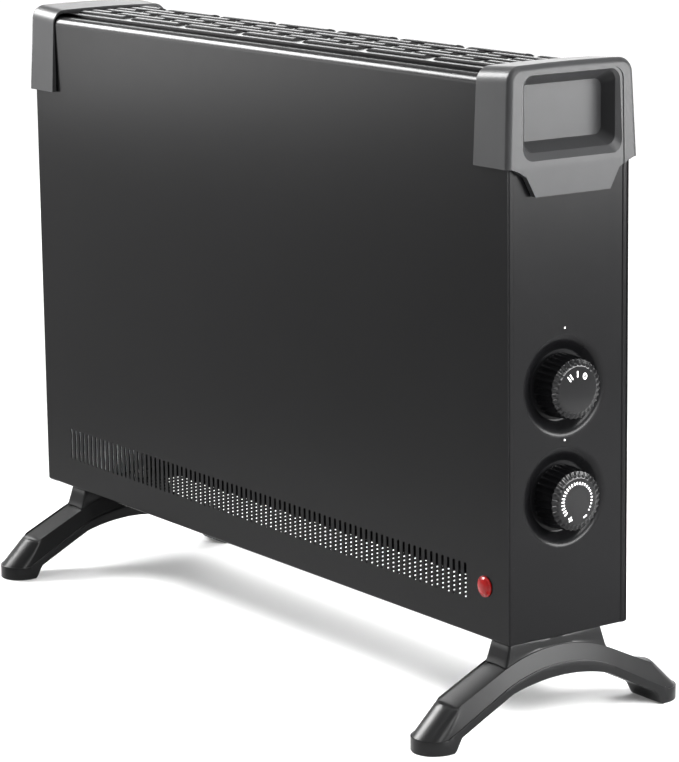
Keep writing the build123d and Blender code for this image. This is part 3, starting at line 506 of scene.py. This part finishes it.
def oval_ring(centre, half_w, half_h, width, place, low, high):
    angles = [2 * math.pi * i / OVAL_POINTS for i in range(OVAL_POINTS)]
    rings = []
    for z, inset in ((low, 0), (high, 0), (high, width), (low, width)):
        w, h = half_w - inset, half_h - inset
        rings.append([place(centre[0] + w * math.cos(a), centre[1] + h * math.sin(a), z) for a in angles])
    return ring_mesh("oval", rings + rings[:1], degrees=30, closed_ends=False)


MARK_RADIUS = 9.6 * MM
HEAT_STEP = math.radians(37)
BAR_SPACING = 2.1 * MM
OVAL_WIDTH = 3.5 * MM
SCALE_START = math.radians(-127.7)
SCALE_END = math.radians(126.2)
SCALE_INNER = 10.0 * MM
SCALE_OUTER = 13.0 * MM
SCALE_SIGNS = (math.radians(-152.4), math.radians(149.5))
SCALE_TAPER = 0.6
SIGN_RADIUS = 12.3 * MM
PLUS_ARM = 1.3 * MM
MINUS_ARM = 1.1 * MM


def heat_step_marks(place):
    width = sizes().mark_stroke
    half = sizes().mark_height / 2 - width / 2
    low, high = -PRINT_HEIGHT, PRINT_HEIGHT
    pieces = []
    for u in (-BAR_SPACING / 2, BAR_SPACING / 2):
        line = stroke(u, MARK_RADIUS - half, u, MARK_RADIUS + half, width)
        pieces.append(prism(turned(line, -HEAT_STEP), place, low, high))
    pieces.append(prism(stroke(0, MARK_RADIUS - half, 0, MARK_RADIUS + half, width), place, low, high))
    at = turned([(0, MARK_RADIUS)], HEAT_STEP)[0]
    pieces.append(oval_ring(at, OVAL_WIDTH / 2, sizes().mark_height / 2, width, place, low, high))
    return pieces


def scale_marks(place):
    width = sizes().mark_stroke
    low, high = -PRINT_HEIGHT, PRINT_HEIGHT
    count = sizes().scale_ticks
    pieces = []
    for i in range(count):
        share = i / (count - 1)
        angle = SCALE_START + (SCALE_END - SCALE_START) * share
        length = (SCALE_OUTER - SCALE_INNER) * (1 - SCALE_TAPER * share)
        middle = (SCALE_INNER + SCALE_OUTER) / 2
        reach = length / 2 - width / 2
        tick = stroke(0, middle - reach, 0, middle + reach, width)
        pieces.append(prism(turned(tick, angle), place, low, high))
    plus, minus = (turned([(0, SIGN_RADIUS)], angle)[0] for angle in SCALE_SIGNS)
    for du, dv in ((PLUS_ARM, 0), (0, PLUS_ARM)):
        line = stroke(-du, -dv, du, dv, width)
        line = [(u + plus[0], v + plus[1]) for u, v in turned(line, SCALE_SIGNS[0])]
        pieces.append(prism(line, place, low, high))
    line = [(u + minus[0], v + minus[1])
            for u, v in turned(stroke(-MINUS_ARM, 0, MINUS_ARM, 0, width), SCALE_SIGNS[1])]
    pieces.append(prism(line, place, low, high))
    return pieces


# Feet, in millimetres: a bridge with a crowned back, sloping flanks, a ledge all round and a tapered neck
FOOT_HALF = 15.7
FOOT_END = 104.0
FOOT_CROWN_HALF = 11.6
FOOT_NOSE_TOP = 28.3
FOOT_NOSE_REACH = 83.8
FOOT_NOSE_RADIUS = 14.0
FOOT_LEDGE_END = 9.6
# Points of the underside from the middle to the end, as distance along the foot and height
FOOT_UNDER = ((0, 35.6), (38.5, 30.0), (79.0, 9.5), (84.0, 0.5))
# Lines along the foot: height in the middle, height at the arch's shoulder, then the straight leg's end
# and its height there
BACK_LINE = (54.6, 45.2, 78.8, 28.3)
LEDGE_LINE = (43.7, 34.2, 86.0, 11.8)
ARCH_SHOULDER = 43.05
CROWN_RISE = 0.9
GROOVE_DEPTH = 0.5
GROOVE_WIDTH = 0.9
EDGE_BLEND = 1.2
LEDGE_RISE = 0.12
LEDGE_DROP = 0.15
# Inset and height of the rounded edge round the underside, and the shares of its width where it has points
SOLE_EDGE = ((0.1, 0.5), (0.6, 0.0))
SOLE_SHARES = (0.8, 0.4, 0, -0.4, -0.8)
# Smallest half widths at the tips, so that no two points meet
LEAST_HALF = 0.01
LEAST_INNER = 0.02
TIP_SHARE = 0.9995
GROOVE_STEP = 0.02
NO_NOSE = 80.0
NOSE_SEARCH_STEPS = 24
LEDGE_RUNOUT = 4.0
STRAIGHT_ROWS = 72
NOSE_ROWS = 26
HALF_SECTION_POINTS = 20
NECK_HIGH = (10.0, 36.8)
NECK_LOW = (11.3, 41.55)
NECK_TOP = 59.8
NECK_DROP = 16.0
FOOT_SCREW_Y = 20.05
SEAT_HALF = (8.0, 34.8)
SEAT_FRONT = 25.75


def bridge_height(y, line):
    """Height of a line along the foot: an arc over the middle, then a straight leg."""
    middle, shoulder, end_y, end_z = line
    y = abs(y)
    if y < ARCH_SHOULDER:
        rise = middle - shoulder
        radius = (ARCH_SHOULDER ** 2 + rise ** 2) / (2 * rise)
        return middle - radius + math.sqrt(radius ** 2 - y ** 2)
    if y < end_y:
        return shoulder + (end_z - shoulder) * (y - ARCH_SHOULDER) / (end_y - ARCH_SHOULDER)
    return end_z


def under_height(y):
    y = abs(y)
    rise = FOOT_UNDER[0][1] - FOOT_UNDER[1][1]
    reach = FOOT_UNDER[1][0]
    if y < reach:
        radius = (reach ** 2 + rise ** 2) / (2 * rise)
        return FOOT_UNDER[0][1] - radius + math.sqrt(radius ** 2 - y ** 2)
    for (y0, z0), (y1, z1) in zip(FOOT_UNDER[1:], FOOT_UNDER[2:]):
        if y < y1:
            return z0 + (z1 - z0) * (y - y0) / (y1 - y0)
    return FOOT_UNDER[-1][1]


def nose_height(x, y, lip):
    """Height of the rounded nose over a point: a slanted cone between the ledge and the top."""
    y = abs(y)
    low, high = 0.0, 1.0
    for _ in range(NOSE_SEARCH_STEPS):
        share = (low + high) / 2
        radius = FOOT_NOSE_RADIUS + (FOOT_HALF - lip - FOOT_NOSE_RADIUS) * share
        reach = FOOT_NOSE_REACH + (FOOT_END - lip - FOOT_NOSE_REACH) * share
        centre = reach - radius
        inside = y < centre or math.hypot(x, y - centre) < radius
        low, high = (low, share) if inside else (share, high)
    if high < 0.001:
        return NO_NOSE
    return FOOT_NOSE_TOP + (FOOT_LEDGE_END - FOOT_NOSE_TOP) * (low + high) / 2


def back_height(x, y, lip):
    """Height of the foot's upper skin inside the ledge."""
    top = bridge_height(y, BACK_LINE)
    ledge = bridge_height(y, LEDGE_LINE)
    x = abs(x)
    if x < FOOT_CROWN_HALF:
        z = top + CROWN_RISE * (1 - (x / FOOT_CROWN_HALF) ** 2) - CROWN_RISE
        z -= GROOVE_DEPTH * ease(x, FOOT_CROWN_HALF - GROOVE_WIDTH, FOOT_CROWN_HALF)
    else:
        share = (x - FOOT_CROWN_HALF) / (FOOT_HALF - lip - FOOT_CROWN_HALF)
        z = top + (ledge - top) * share
    return soft_min(z, nose_height(x, y, lip), EDGE_BLEND)


def foot_stations():
    """Places along the foot, closer together at the nose."""
    straight = FOOT_END - FOOT_HALF
    body = [straight * i / STRAIGHT_ROWS for i in range(STRAIGHT_ROWS + 1)]
    nose = [straight + FOOT_HALF * math.sin(math.pi / 2 * i / NOSE_ROWS) for i in range(1, NOSE_ROWS)]
    half = body + nose
    return [-y for y in reversed(half[1:])] + half


def plan_half(y, inset):
    """Half width of the foot's plan outline at y."""
    centre = FOOT_END - FOOT_HALF
    radius = FOOT_HALF - inset
    off = abs(y) - centre
    if off <= 0:
        return radius
    off = min(off, radius * TIP_SHARE)
    return math.sqrt(radius ** 2 - off ** 2)


def foot_section(y, lip):
    """One closed loop of points round the foot at y."""
    ledge = bridge_height(y, LEDGE_LINE)
    if abs(y) > LEDGE_LINE[2]:
        ledge += (FOOT_LEDGE_END - ledge) * ease(abs(y), LEDGE_LINE[2], LEDGE_LINE[2] + LEDGE_RUNOUT)
    under = under_height(y)
    half = plan_half(y, 0)
    inner = max(plan_half(y, lip), LEAST_INNER)
    steps = range(-HALF_SECTION_POINTS, HALF_SECTION_POINTS + 1)
    shares = [math.sin(math.pi / 2 * i / HALF_SECTION_POINTS) for i in steps]
    edge = FOOT_CROWN_HALF / (FOOT_HALF - lip)
    shares = sorted(shares + [edge, -edge, edge + GROOVE_STEP, -edge - GROOVE_STEP])
    upper = [(inner * s, back_height(inner * s, y, lip)) for s in shares]
    low_side = [(half - LEDGE_DROP, ledge + LEDGE_RISE), (half, ledge - LEDGE_DROP),
                (half, under + (ledge - under) / 2)]
    low_side += [(half - inset, under + rise) for inset, rise in SOLE_EDGE]
    low_side = [(max(x, LEAST_HALF), z) for x, z in low_side]
    sole = [(half * s, under) for s in SOLE_SHARES]
    left = [(-x, z) for x, z in reversed(low_side)]
    return [(inner, ledge + LEDGE_RISE)] + low_side + sole + left + [(-inner, ledge + LEDGE_RISE)] + upper


def foot_beam(lip):
    rings = []
    for y in foot_stations():
        rings.append([(x, y, z) for x, z in foot_section(y, lip)])
    return ring_mesh("beam", rings, degrees=32)


NECK_CORNER = 1.6
NECK_POINT_GAP = 2.5
NECK_EDGE = 0.35
# Rings of the neck: drop from the top or share of the way down, then offset outward
NECK_TOP_RINGS = ((0.0, -3.0), (0.02, -0.25), (NECK_EDGE, 0.0))
NECK_SIDE_RINGS = ((0.3, 0), (0.6, 0), (0.86, 0), (0.91, 0.28), (0.97, 0.34), (1.0, 0.1), (1.0, -0.9))
NECK_SINK = 3.0
NECK_LIFT = 0.75
SEAT_LEVELS = (NECK_TOP - 2, NECK_TOP + 0.65)
# Height and radius of the counterbore and the screw hole
BORE_STEPS = ((-1, 4.8), (45.0, 4.8), (45.0, 2.7), (70, 2.7))
BORE_POINTS = 48


def rounded_box(half_x, half_y, radius, steps=6):
    corners = [(half_x - radius, half_y - radius, 0), (-half_x + radius, half_y - radius, 90),
               (-half_x + radius, -half_y + radius, 180), (half_x - radius, -half_y + radius, 270)]
    loop = []
    for x, y, turn in corners:
        loop += arc((x, y), radius, math.radians(turn), math.radians(turn + 90), steps)
    return loop


def divided(loop, longest):
    """Adds points along the loop's long sides."""
    out = []
    for (x0, y0), (x1, y1) in zip(loop, loop[1:] + loop[:1]):
        count = max(1, math.ceil(math.hypot(x1 - x0, y1 - y0) / longest))
        out += [(x0 + (x1 - x0) * i / count, y0 + (y1 - y0) * i / count) for i in range(count)]
    return out


def foot_neck():
    unit = divided(rounded_box(NECK_HIGH[0], NECK_HIGH[1], NECK_CORNER), NECK_POINT_GAP)
    grow_x = NECK_LOW[0] / NECK_HIGH[0]
    grow_y = NECK_LOW[1] / NECK_HIGH[1]

    def at(point, z, out):
        share = (NECK_TOP - z) / NECK_DROP
        x = point[0] * (1 + (grow_x - 1) * share)
        y = point[1] * (1 + (grow_y - 1) * share)
        size = math.hypot(x, y)
        return (x * (1 + out / size), y * (1 + out / size), z)

    rings = [[at(p, NECK_TOP - drop, out) for p in unit] for drop, out in NECK_TOP_RINGS]
    side_top = NECK_TOP - NECK_EDGE
    for share, out in NECK_SIDE_RINGS:
        ring = []
        for p in unit:
            foot = at(p, NECK_TOP - NECK_DROP, 0)
            end = bridge_height(foot[1], BACK_LINE) + NECK_LIFT
            end -= CROWN_RISE * (foot[0] / FOOT_CROWN_HALF) ** 2
            ring.append(at(p, side_top - (side_top - end) * share, out))
        rings.append(ring)
    rings.append([(x, y, z - NECK_SINK) for x, y, z in rings[-1]])
    return ring_mesh("neck", rings, degrees=40)


def foot_seat():
    loop = [(SEAT_HALF[0], -SEAT_FRONT), (SEAT_HALF[0], SEAT_HALF[1]), (-SEAT_HALF[0], SEAT_HALF[1]),
            (-SEAT_HALF[0], -SEAT_FRONT)]
    return ring_mesh("seat", [[(x, y, z) for x, y in loop] for z in SEAT_LEVELS])


def foot_bores():
    """Round cutters for the screw holes and their counterbores."""
    angles = [2 * math.pi * i / BORE_POINTS for i in range(BORE_POINTS)]
    cutters = []
    for y in (-FOOT_SCREW_Y, FOOT_SCREW_Y):
        rings = [[(r * math.cos(a), y + r * math.sin(a), z) for a in angles] for z, r in BORE_STEPS]
        cutters.append(ring_mesh("bore", rings))
    return cutters


def boolean(target, cutter, operation):
    holder = bpy.data.objects.new("cutter", cutter)
    bpy.context.scene.collection.objects.link(holder)
    step = target.modifiers.new("step", "BOOLEAN")
    step.operation = operation
    step.solver = "EXACT"
    step.object = holder
    bpy.context.view_layer.update()
    shown = target.evaluated_get(bpy.context.evaluated_depsgraph_get())
    result = bpy.data.meshes.new_from_object(shown)
    target.modifiers.clear()
    target.data = result
    bpy.data.objects.remove(holder)


def make_foot(name, material):
    low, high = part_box(name)
    middle = Vector(((low.x + high.x) / 2, (low.y + high.y) / 2, 0))
    lip = sizes().foot_lip / MM
    foot = mesh_object(name + "_moulding", foot_beam(lip), material)
    for upper in (foot_neck(), foot_seat()):
        boolean(foot, upper, "UNION")
    boolean(foot, joined("bores", foot_bores()), "DIFFERENCE")
    foot.data.transform(Matrix.Translation(middle) @ Matrix.Scale(MM, 4))
    smooth_by_angle(foot.data, 32)
    return settle(foot, "casing", "foot_plastic", name)


# Lamp lens: a faceted dome with a rim. The rings give depth, share of the radius and turn in facets.
LENS_RADIUS = 6.9 * MM
LENS_RIM = 1.0 * MM
STEM_RINGS = ((1.0, 0.55, 0.0), (1.0, 0.78, 0.0), (0.0, 0.78, 0.0), (0.0, 0.98, 0.0))
RIM_RINGS = ((0.85, 1.0, 0.0), (1.0, 0.95, 0.0), (1.0, 0.9, 0.5))
DOME_RINGS = ((0.72, 0.72, 0.0), (0.93, 0.42, 0.5), (1.0, 0.16, 0.0))


def make_lens(material):
    low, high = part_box("indicator_lens")
    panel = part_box("front_panel")[0].y
    centre = Vector(((low.x + high.x) / 2, panel, (low.z + high.z) / 2))
    facets = sizes().lens_facets
    rings = []
    for reach, steps in ((high.y - panel, STEM_RINGS), (-LENS_RIM, RIM_RINGS), (low.y - panel, DOME_RINGS)):
        for depth, share, turn in steps:
            angles = [math.pi * (i + turn) / facets for i in range(facets * 2)]
            radius = LENS_RADIUS * share
            y = centre.y + reach * depth
            rings.append([(centre.x + radius * math.cos(a), y, centre.z + radius * math.sin(a))
                          for a in angles])
    lens = mesh_object("lamp_lens", ring_mesh("lamp_lens", rings, degrees=4), material)
    return settle(lens, "casing", "lens_red", "indicator_lens")


# Pointer dots over the dishes
POINTER_RISE = 37.0 * MM
PANEL_STRIP = 0.6 * MM
# Height over the panel and share of the radius
POINTER_RINGS = ((-0.1 * MM, 1.0), (0.03 * MM, 1.0), (0.06 * MM, 0.9), (0.08 * MM, 0.5))
POINTER_POINTS = 24


def make_pointer(name, knob, material):
    low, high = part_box(knob)
    centre = Vector((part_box("right_side_panel")[1].x - PANEL_STRIP, (low.y + high.y) / 2,
                     (low.z + high.z) / 2 + POINTER_RISE))
    angles = [2 * math.pi * i / POINTER_POINTS for i in range(POINTER_POINTS)]
    rings = []
    for height, share in POINTER_RINGS:
        radius = sizes().pointer_radius * share
        rings.append([(centre.x + height, centre.y + radius * math.cos(a), centre.z + radius * math.sin(a))
                      for a in angles])
    dot = mesh_object(name, ring_mesh(name, rings, degrees=50), material)
    return settle(dot, "casing", "casing_paint")


# Studio: floor, world, lights and camera
FLOOR_HALF = 12
GLOW_REACH = (0.5, 1.8)
OVERHEAD_PLACE = (0, 0.6, 3)
# Offset from the middle of the casing's lower edge
CAMERA_PLACE = (1.8004, -1.23135, 0.5705)

# Name, place, point aimed at, width, height, beam in degrees and lean in degrees
SOFTBOXES = (
    ("roll", (-1.04, -0.48, 1.02), (0, -0.04, 0.41), 0.66, 0.48, 64, 49),
    ("panel", (-0.84, -0.63, 0.44), (0, -0.04, 0.38), 0.5, 0.36, 80, 0),
    ("knob", (0.42, -1.0, 1.95), (0.29, 0, 0.2), 0.2, 0.2, 30, 0),
    ("key", (1.93, -0.1, 1.55), (0.29, 0, 0.2), 1.4, 0.26, 180, 26),
    ("right", (1.14, 0.56, 0.37), (0.29, 0, 0.18), 0.9, 0.2, 130, 0),
    ("rear", (-1.9, 1.3, 0.85), (0, 0, 0.4), 1.3, 0.6, 180, 0),
)


def seen_or_mirrored(tree):
    """One where the camera, a reflection or clear plastic looks at the surroundings, otherwise nought."""
    ray = tree.nodes.new("ShaderNodeLightPath")
    whole = ray.outputs["Is Camera Ray"]
    for kind in ("Is Glossy Ray", "Is Transmission Ray"):
        either = node(tree, "ShaderNodeMath", operation="MAXIMUM")
        tree.links.new(whole, either.inputs[0])
        tree.links.new(ray.outputs[kind], either.inputs[1])
        whole = either.outputs[0]
    return whole


def floor_material():
    material, tree, shader = blank_material("pale_studio_floor")
    mottled(tree, shader, colours().floor, 300 * MM, 0.01, 0.75, 0.85)
    shader.inputs["Specular IOR Level"].default_value = 0.1
    away = node(tree, "ShaderNodeVectorMath", operation="LENGTH")
    tree.links.new(object_space(tree), away.inputs[0])
    ramp = remap(tree, away.outputs["Value"], *GLOW_REACH, studio().near_glow, studio().far_glow)
    glow = node(tree, "ShaderNodeMath", operation="MULTIPLY")
    tree.links.new(ramp, glow.inputs[1])
    tree.links.new(seen_or_mirrored(tree), glow.inputs[0])
    shader.inputs["Emission Color"].default_value = (1, 1, 1, 1)
    tree.links.new(glow.outputs[0], shader.inputs["Emission Strength"])
    return material


def white_world():
    world = bpy.data.worlds.new("studio_surround")
    world.use_nodes = True
    tree = world.node_tree
    background = tree.nodes["Background"]
    strength = node(tree, "ShaderNodeMapRange")
    strength.inputs["To Min"].default_value = studio().fill_level
    tree.links.new(seen_or_mirrored(tree), strength.inputs["Value"])
    tree.links.new(strength.outputs[0], background.inputs["Strength"])
    background.inputs["Color"].default_value = (1, 1, 1, 1)
    bpy.context.scene.world = world


def aimed(name, light, place, target, lean=0):
    lamp = bpy.data.objects.new(name, light)
    bpy.context.scene.collection.objects.link(lamp)
    lamp.location = place
    turn = (Vector(place) - Vector(target)).to_track_quat("Z", "Y")
    lamp.rotation_euler = (turn @ Quaternion((0, 0, 1), math.radians(lean))).to_euler()
    return lamp


def softbox(name, place, target, width, height, beam, lean):
    """A softbox; a grid narrows its beam without changing its brightness from in front."""
    light = bpy.data.lights.new(name + "_softbox", "AREA")
    light.shape = "RECTANGLE"
    light.size = width
    light.size_y = height
    light.spread = math.radians(beam)
    half = min(math.radians(beam) / 2, math.radians(89.9))
    brightness = getattr(studio(), name + "_light")
    light.energy = brightness * 4 * width * height * (1 - half / math.tan(half))
    return aimed(name + "_softbox", light, place, target, lean)


def overhead():
    light = bpy.data.lights.new("overhead_light", "SUN")
    light.energy = studio().overhead_light
    light.angle = studio().overhead_spread
    return aimed("overhead_light", light, OVERHEAD_PLACE, (0, 0, 0))


def photo_camera():
    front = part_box("front_panel")
    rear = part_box("rear_panel")
    middle = Vector(((front[0].x + front[1].x) / 2, (front[0].y + rear[1].y) / 2, front[0].z))
    az, el, roll = studio().azimuth, studio().elevation, studio().roll
    back = Vector((math.sin(az) * math.cos(el), -math.cos(az) * math.cos(el), math.sin(el)))
    right = Vector((math.cos(az), math.sin(az), 0))
    up = back.cross(right)
    across = right * math.cos(roll) + up * math.sin(roll)
    upward = up * math.cos(roll) - right * math.sin(roll)
    lens = bpy.data.cameras.new("photo_camera")
    lens.lens = studio().lens_length
    lens.sensor_width = 36
    lens.clip_end = 30
    camera = bpy.data.objects.new("photo_camera", lens)
    bpy.context.scene.collection.objects.link(camera)
    turn = Matrix((across, upward, back)).transposed().to_4x4()
    camera.matrix_world = Matrix.Translation(middle + Vector(CAMERA_PLACE)) @ turn
    bpy.context.scene.camera = camera


# Operators, one for each piece or group of like pieces
class HEATER_OT_casing(bpy.types.Operator):
    """Coat the sheet metal panels and print the pointer dots"""
    bl_idname = "heater.casing"
    bl_label = "Casing"

    def execute(self, context):
        repaint(powder_coat(), "front_panel", "rear_panel", "left_side_panel", "right_side_panel",
                "bottom_plate", "top_grille")
        ink = printed_ink()
        make_pointer("power_pointer_dot", "power_knob", ink)
        make_pointer("thermostat_pointer_dot", "thermostat_knob", ink)
        return {"FINISHED"}


class HEATER_OT_caps(bpy.types.Operator):
    """Finish the two end caps with their carrying recesses"""
    bl_idname = "heater.caps"
    bl_label = "End caps"

    def execute(self, context):
        repaint(grained_plastic("cap_plastic", colours().cap_plastic, 0.38, 0.5 * MM, 0.03 * MM, 0.13),
                "left_handle", "right_handle")
        return {"FINISHED"}


class HEATER_OT_feet(bpy.types.Operator):
    """Model the two bridge feet and finish their pads"""
    bl_idname = "heater.feet"
    bl_label = "Feet"

    def execute(self, context):
        plastic = grained_plastic("foot_plastic", colours().foot_plastic, 0.32, 0.5 * MM, 0.004 * MM, 0.12)
        for name in ("left_foot", "right_foot"):
            make_foot(name, plastic)
        repaint(soft_rubber(), "foot_pads")
        return {"FINISHED"}


class HEATER_OT_knobs(bpy.types.Operator):
    """Model the two fluted knobs with their printed marks"""
    bl_idname = "heater.knobs"
    bl_label = "Knobs"

    def execute(self, context):
        plastic = glossy_plastic()
        ink = printed_ink()
        for name, body, marks in (("power_knob", "power_dial", heat_step_marks),
                                  ("thermostat_knob", "thermostat_dial", scale_marks)):
            low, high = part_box(name)
            centre = (low + high) / 2
            face_x = high.x - 2 * PRINT_HEIGHT
            mesh = knob_mesh(name + "_moulding", centre, face_x, face_x - low.x)
            settle(mesh_object(name + "_moulding", mesh, plastic), body, "knob_plastic", name)
            print_mesh = joined(name + "_marks", marks(on_face(centre, face_x)))
            smooth_by_angle(print_mesh, 30)
            settle(mesh_object(name + "_marks", print_mesh, ink), body, "knob_plastic")
        return {"FINISHED"}


class HEATER_OT_lamp(bpy.types.Operator):
    """Model the faceted lamp lens and finish its holder and bulb"""
    bl_idname = "heater.lamp"
    bl_label = "Lamp"

    def execute(self, context):
        make_lens(lens_plastic())
        repaint(grained_plastic("holder_plastic", (0.03, 0.03, 0.03), 0.5, 0.4 * MM, 0.02 * MM),
                "indicator_holder", "cord_inlet")
        repaint(clear_glass(), "indicator_bulb")
        return {"FINISHED"}


class HEATER_OT_fittings(bpy.types.Operator):
    """Finish the screws, nuts and shafts"""
    bl_idname = "heater.fittings"
    bl_label = "Screws, nuts and shafts"

    def execute(self, context):
        repaint(metal("zinc_plated_steel", (0.5, 0.5, 0.52), 0.3, 0.4 * MM), "handle_screws", "foot_screws",
                "foot_nuts", "cutout_screws", "terminal_screws", "bush_nuts")
        repaint(metal("blackened_steel", (0.06, 0.06, 0.065), 0.35, 0.4 * MM), "casing_screws")
        repaint(metal("turned_steel", (0.55, 0.55, 0.56), 0.25, 0.3 * MM, stretch=(8, 1, 1)),
                "power_switch_shaft", "thermostat_shaft")
        return {"FINISHED"}


class HEATER_OT_inside(bpy.types.Operator):
    """Finish the heating elements, sheets, switch and thermostat inside"""
    bl_idname = "heater.inside"
    bl_label = "Inside parts"

    def execute(self, context):
        repaint(metal("extruded_aluminium", (0.62, 0.62, 0.63), 0.36, 0.6 * MM, stretch=(0.02, 1, 1)),
                "lower_heating_element", "upper_heating_element")
        repaint(galvanised_sheet(), "thermostat_frame", "element_bracket", "control_bulkhead", "heat_shield")
        repaint(metal("stamped_brass", (0.7, 0.52, 0.24), 0.28, 0.5 * MM), "power_switch_tabs",
                "thermostat_blades", "thermostat_pin")
        repaint(unglazed_ceramic(), "thermostat_block", "thermostat_spacers", "element_bushes",
                "thermal_cutout")
        repaint(grained_plastic("switch_plastic", (0.09, 0.09, 0.09), 0.5, 0.5 * MM, 0.02 * MM),
                "power_switch_housing", "power_switch_cover", "terminal_block")
        return {"FINISHED"}


class HEATER_OT_stage(bpy.types.Operator):
    """Lay the floor and set the world, lights and camera"""
    bl_idname = "heater.stage"
    bl_label = "Studio"

    def execute(self, context):
        form = bmesh.new()
        bmesh.ops.create_grid(form, x_segments=2, y_segments=2, size=FLOOR_HALF)
        mesh = bpy.data.meshes.new("studio_floor")
        form.to_mesh(mesh)
        form.free()
        mesh_object("studio_floor", mesh, floor_material())
        white_world()
        for setting in SOFTBOXES:
            softbox(*setting)
        overhead()
        photo_camera()
        context.scene.view_settings.view_transform = "Standard"
        return {"FINISHED"}


class HEATER_PT_sidebar(bpy.types.Panel):
    """Lists the heater's steps and settings"""
    bl_idname = "HEATER_PT_sidebar"
    bl_label = "Convector panel heater"
    bl_space_type = "VIEW_3D"
    bl_region_type = "UI"
    bl_category = "Heater"

    def draw(self, context):
        steps = self.layout.column(align=True)
        for operator in OPERATORS:
            steps.operator(operator.bl_idname)
        for group in (sizes(), colours(), studio()):
            settings = self.layout.column()
            for key in group.__annotations__:
                settings.prop(group, key)


GROUPS = (HeaterSizes, HeaterColours, HeaterStudio)
OPERATORS = (HEATER_OT_casing, HEATER_OT_caps, HEATER_OT_feet, HEATER_OT_knobs, HEATER_OT_lamp,
             HEATER_OT_fittings, HEATER_OT_inside, HEATER_OT_stage)


def register():
    for item in GROUPS + OPERATORS + (HEATER_PT_sidebar,):
        bpy.utils.register_class(item)
    bpy.types.Scene.heater_sizes = bpy.props.PointerProperty(type=HeaterSizes)
    bpy.types.Scene.heater_colours = bpy.props.PointerProperty(type=HeaterColours)
    bpy.types.Scene.heater_studio = bpy.props.PointerProperty(type=HeaterStudio)


def unregister():
    del bpy.types.Scene.heater_sizes, bpy.types.Scene.heater_colours, bpy.types.Scene.heater_studio
    for item in reversed(GROUPS + OPERATORS + (HEATER_PT_sidebar,)):
        bpy.utils.unregister_class(item)


def main():
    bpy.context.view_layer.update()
    register()
    bpy.ops.heater.casing()
    bpy.ops.heater.caps()
    bpy.ops.heater.feet()
    bpy.ops.heater.knobs()
    bpy.ops.heater.lamp()
    bpy.ops.heater.fittings()
    bpy.ops.heater.inside()
    bpy.ops.heater.stage()


if __name__ == "__main__":
    main()
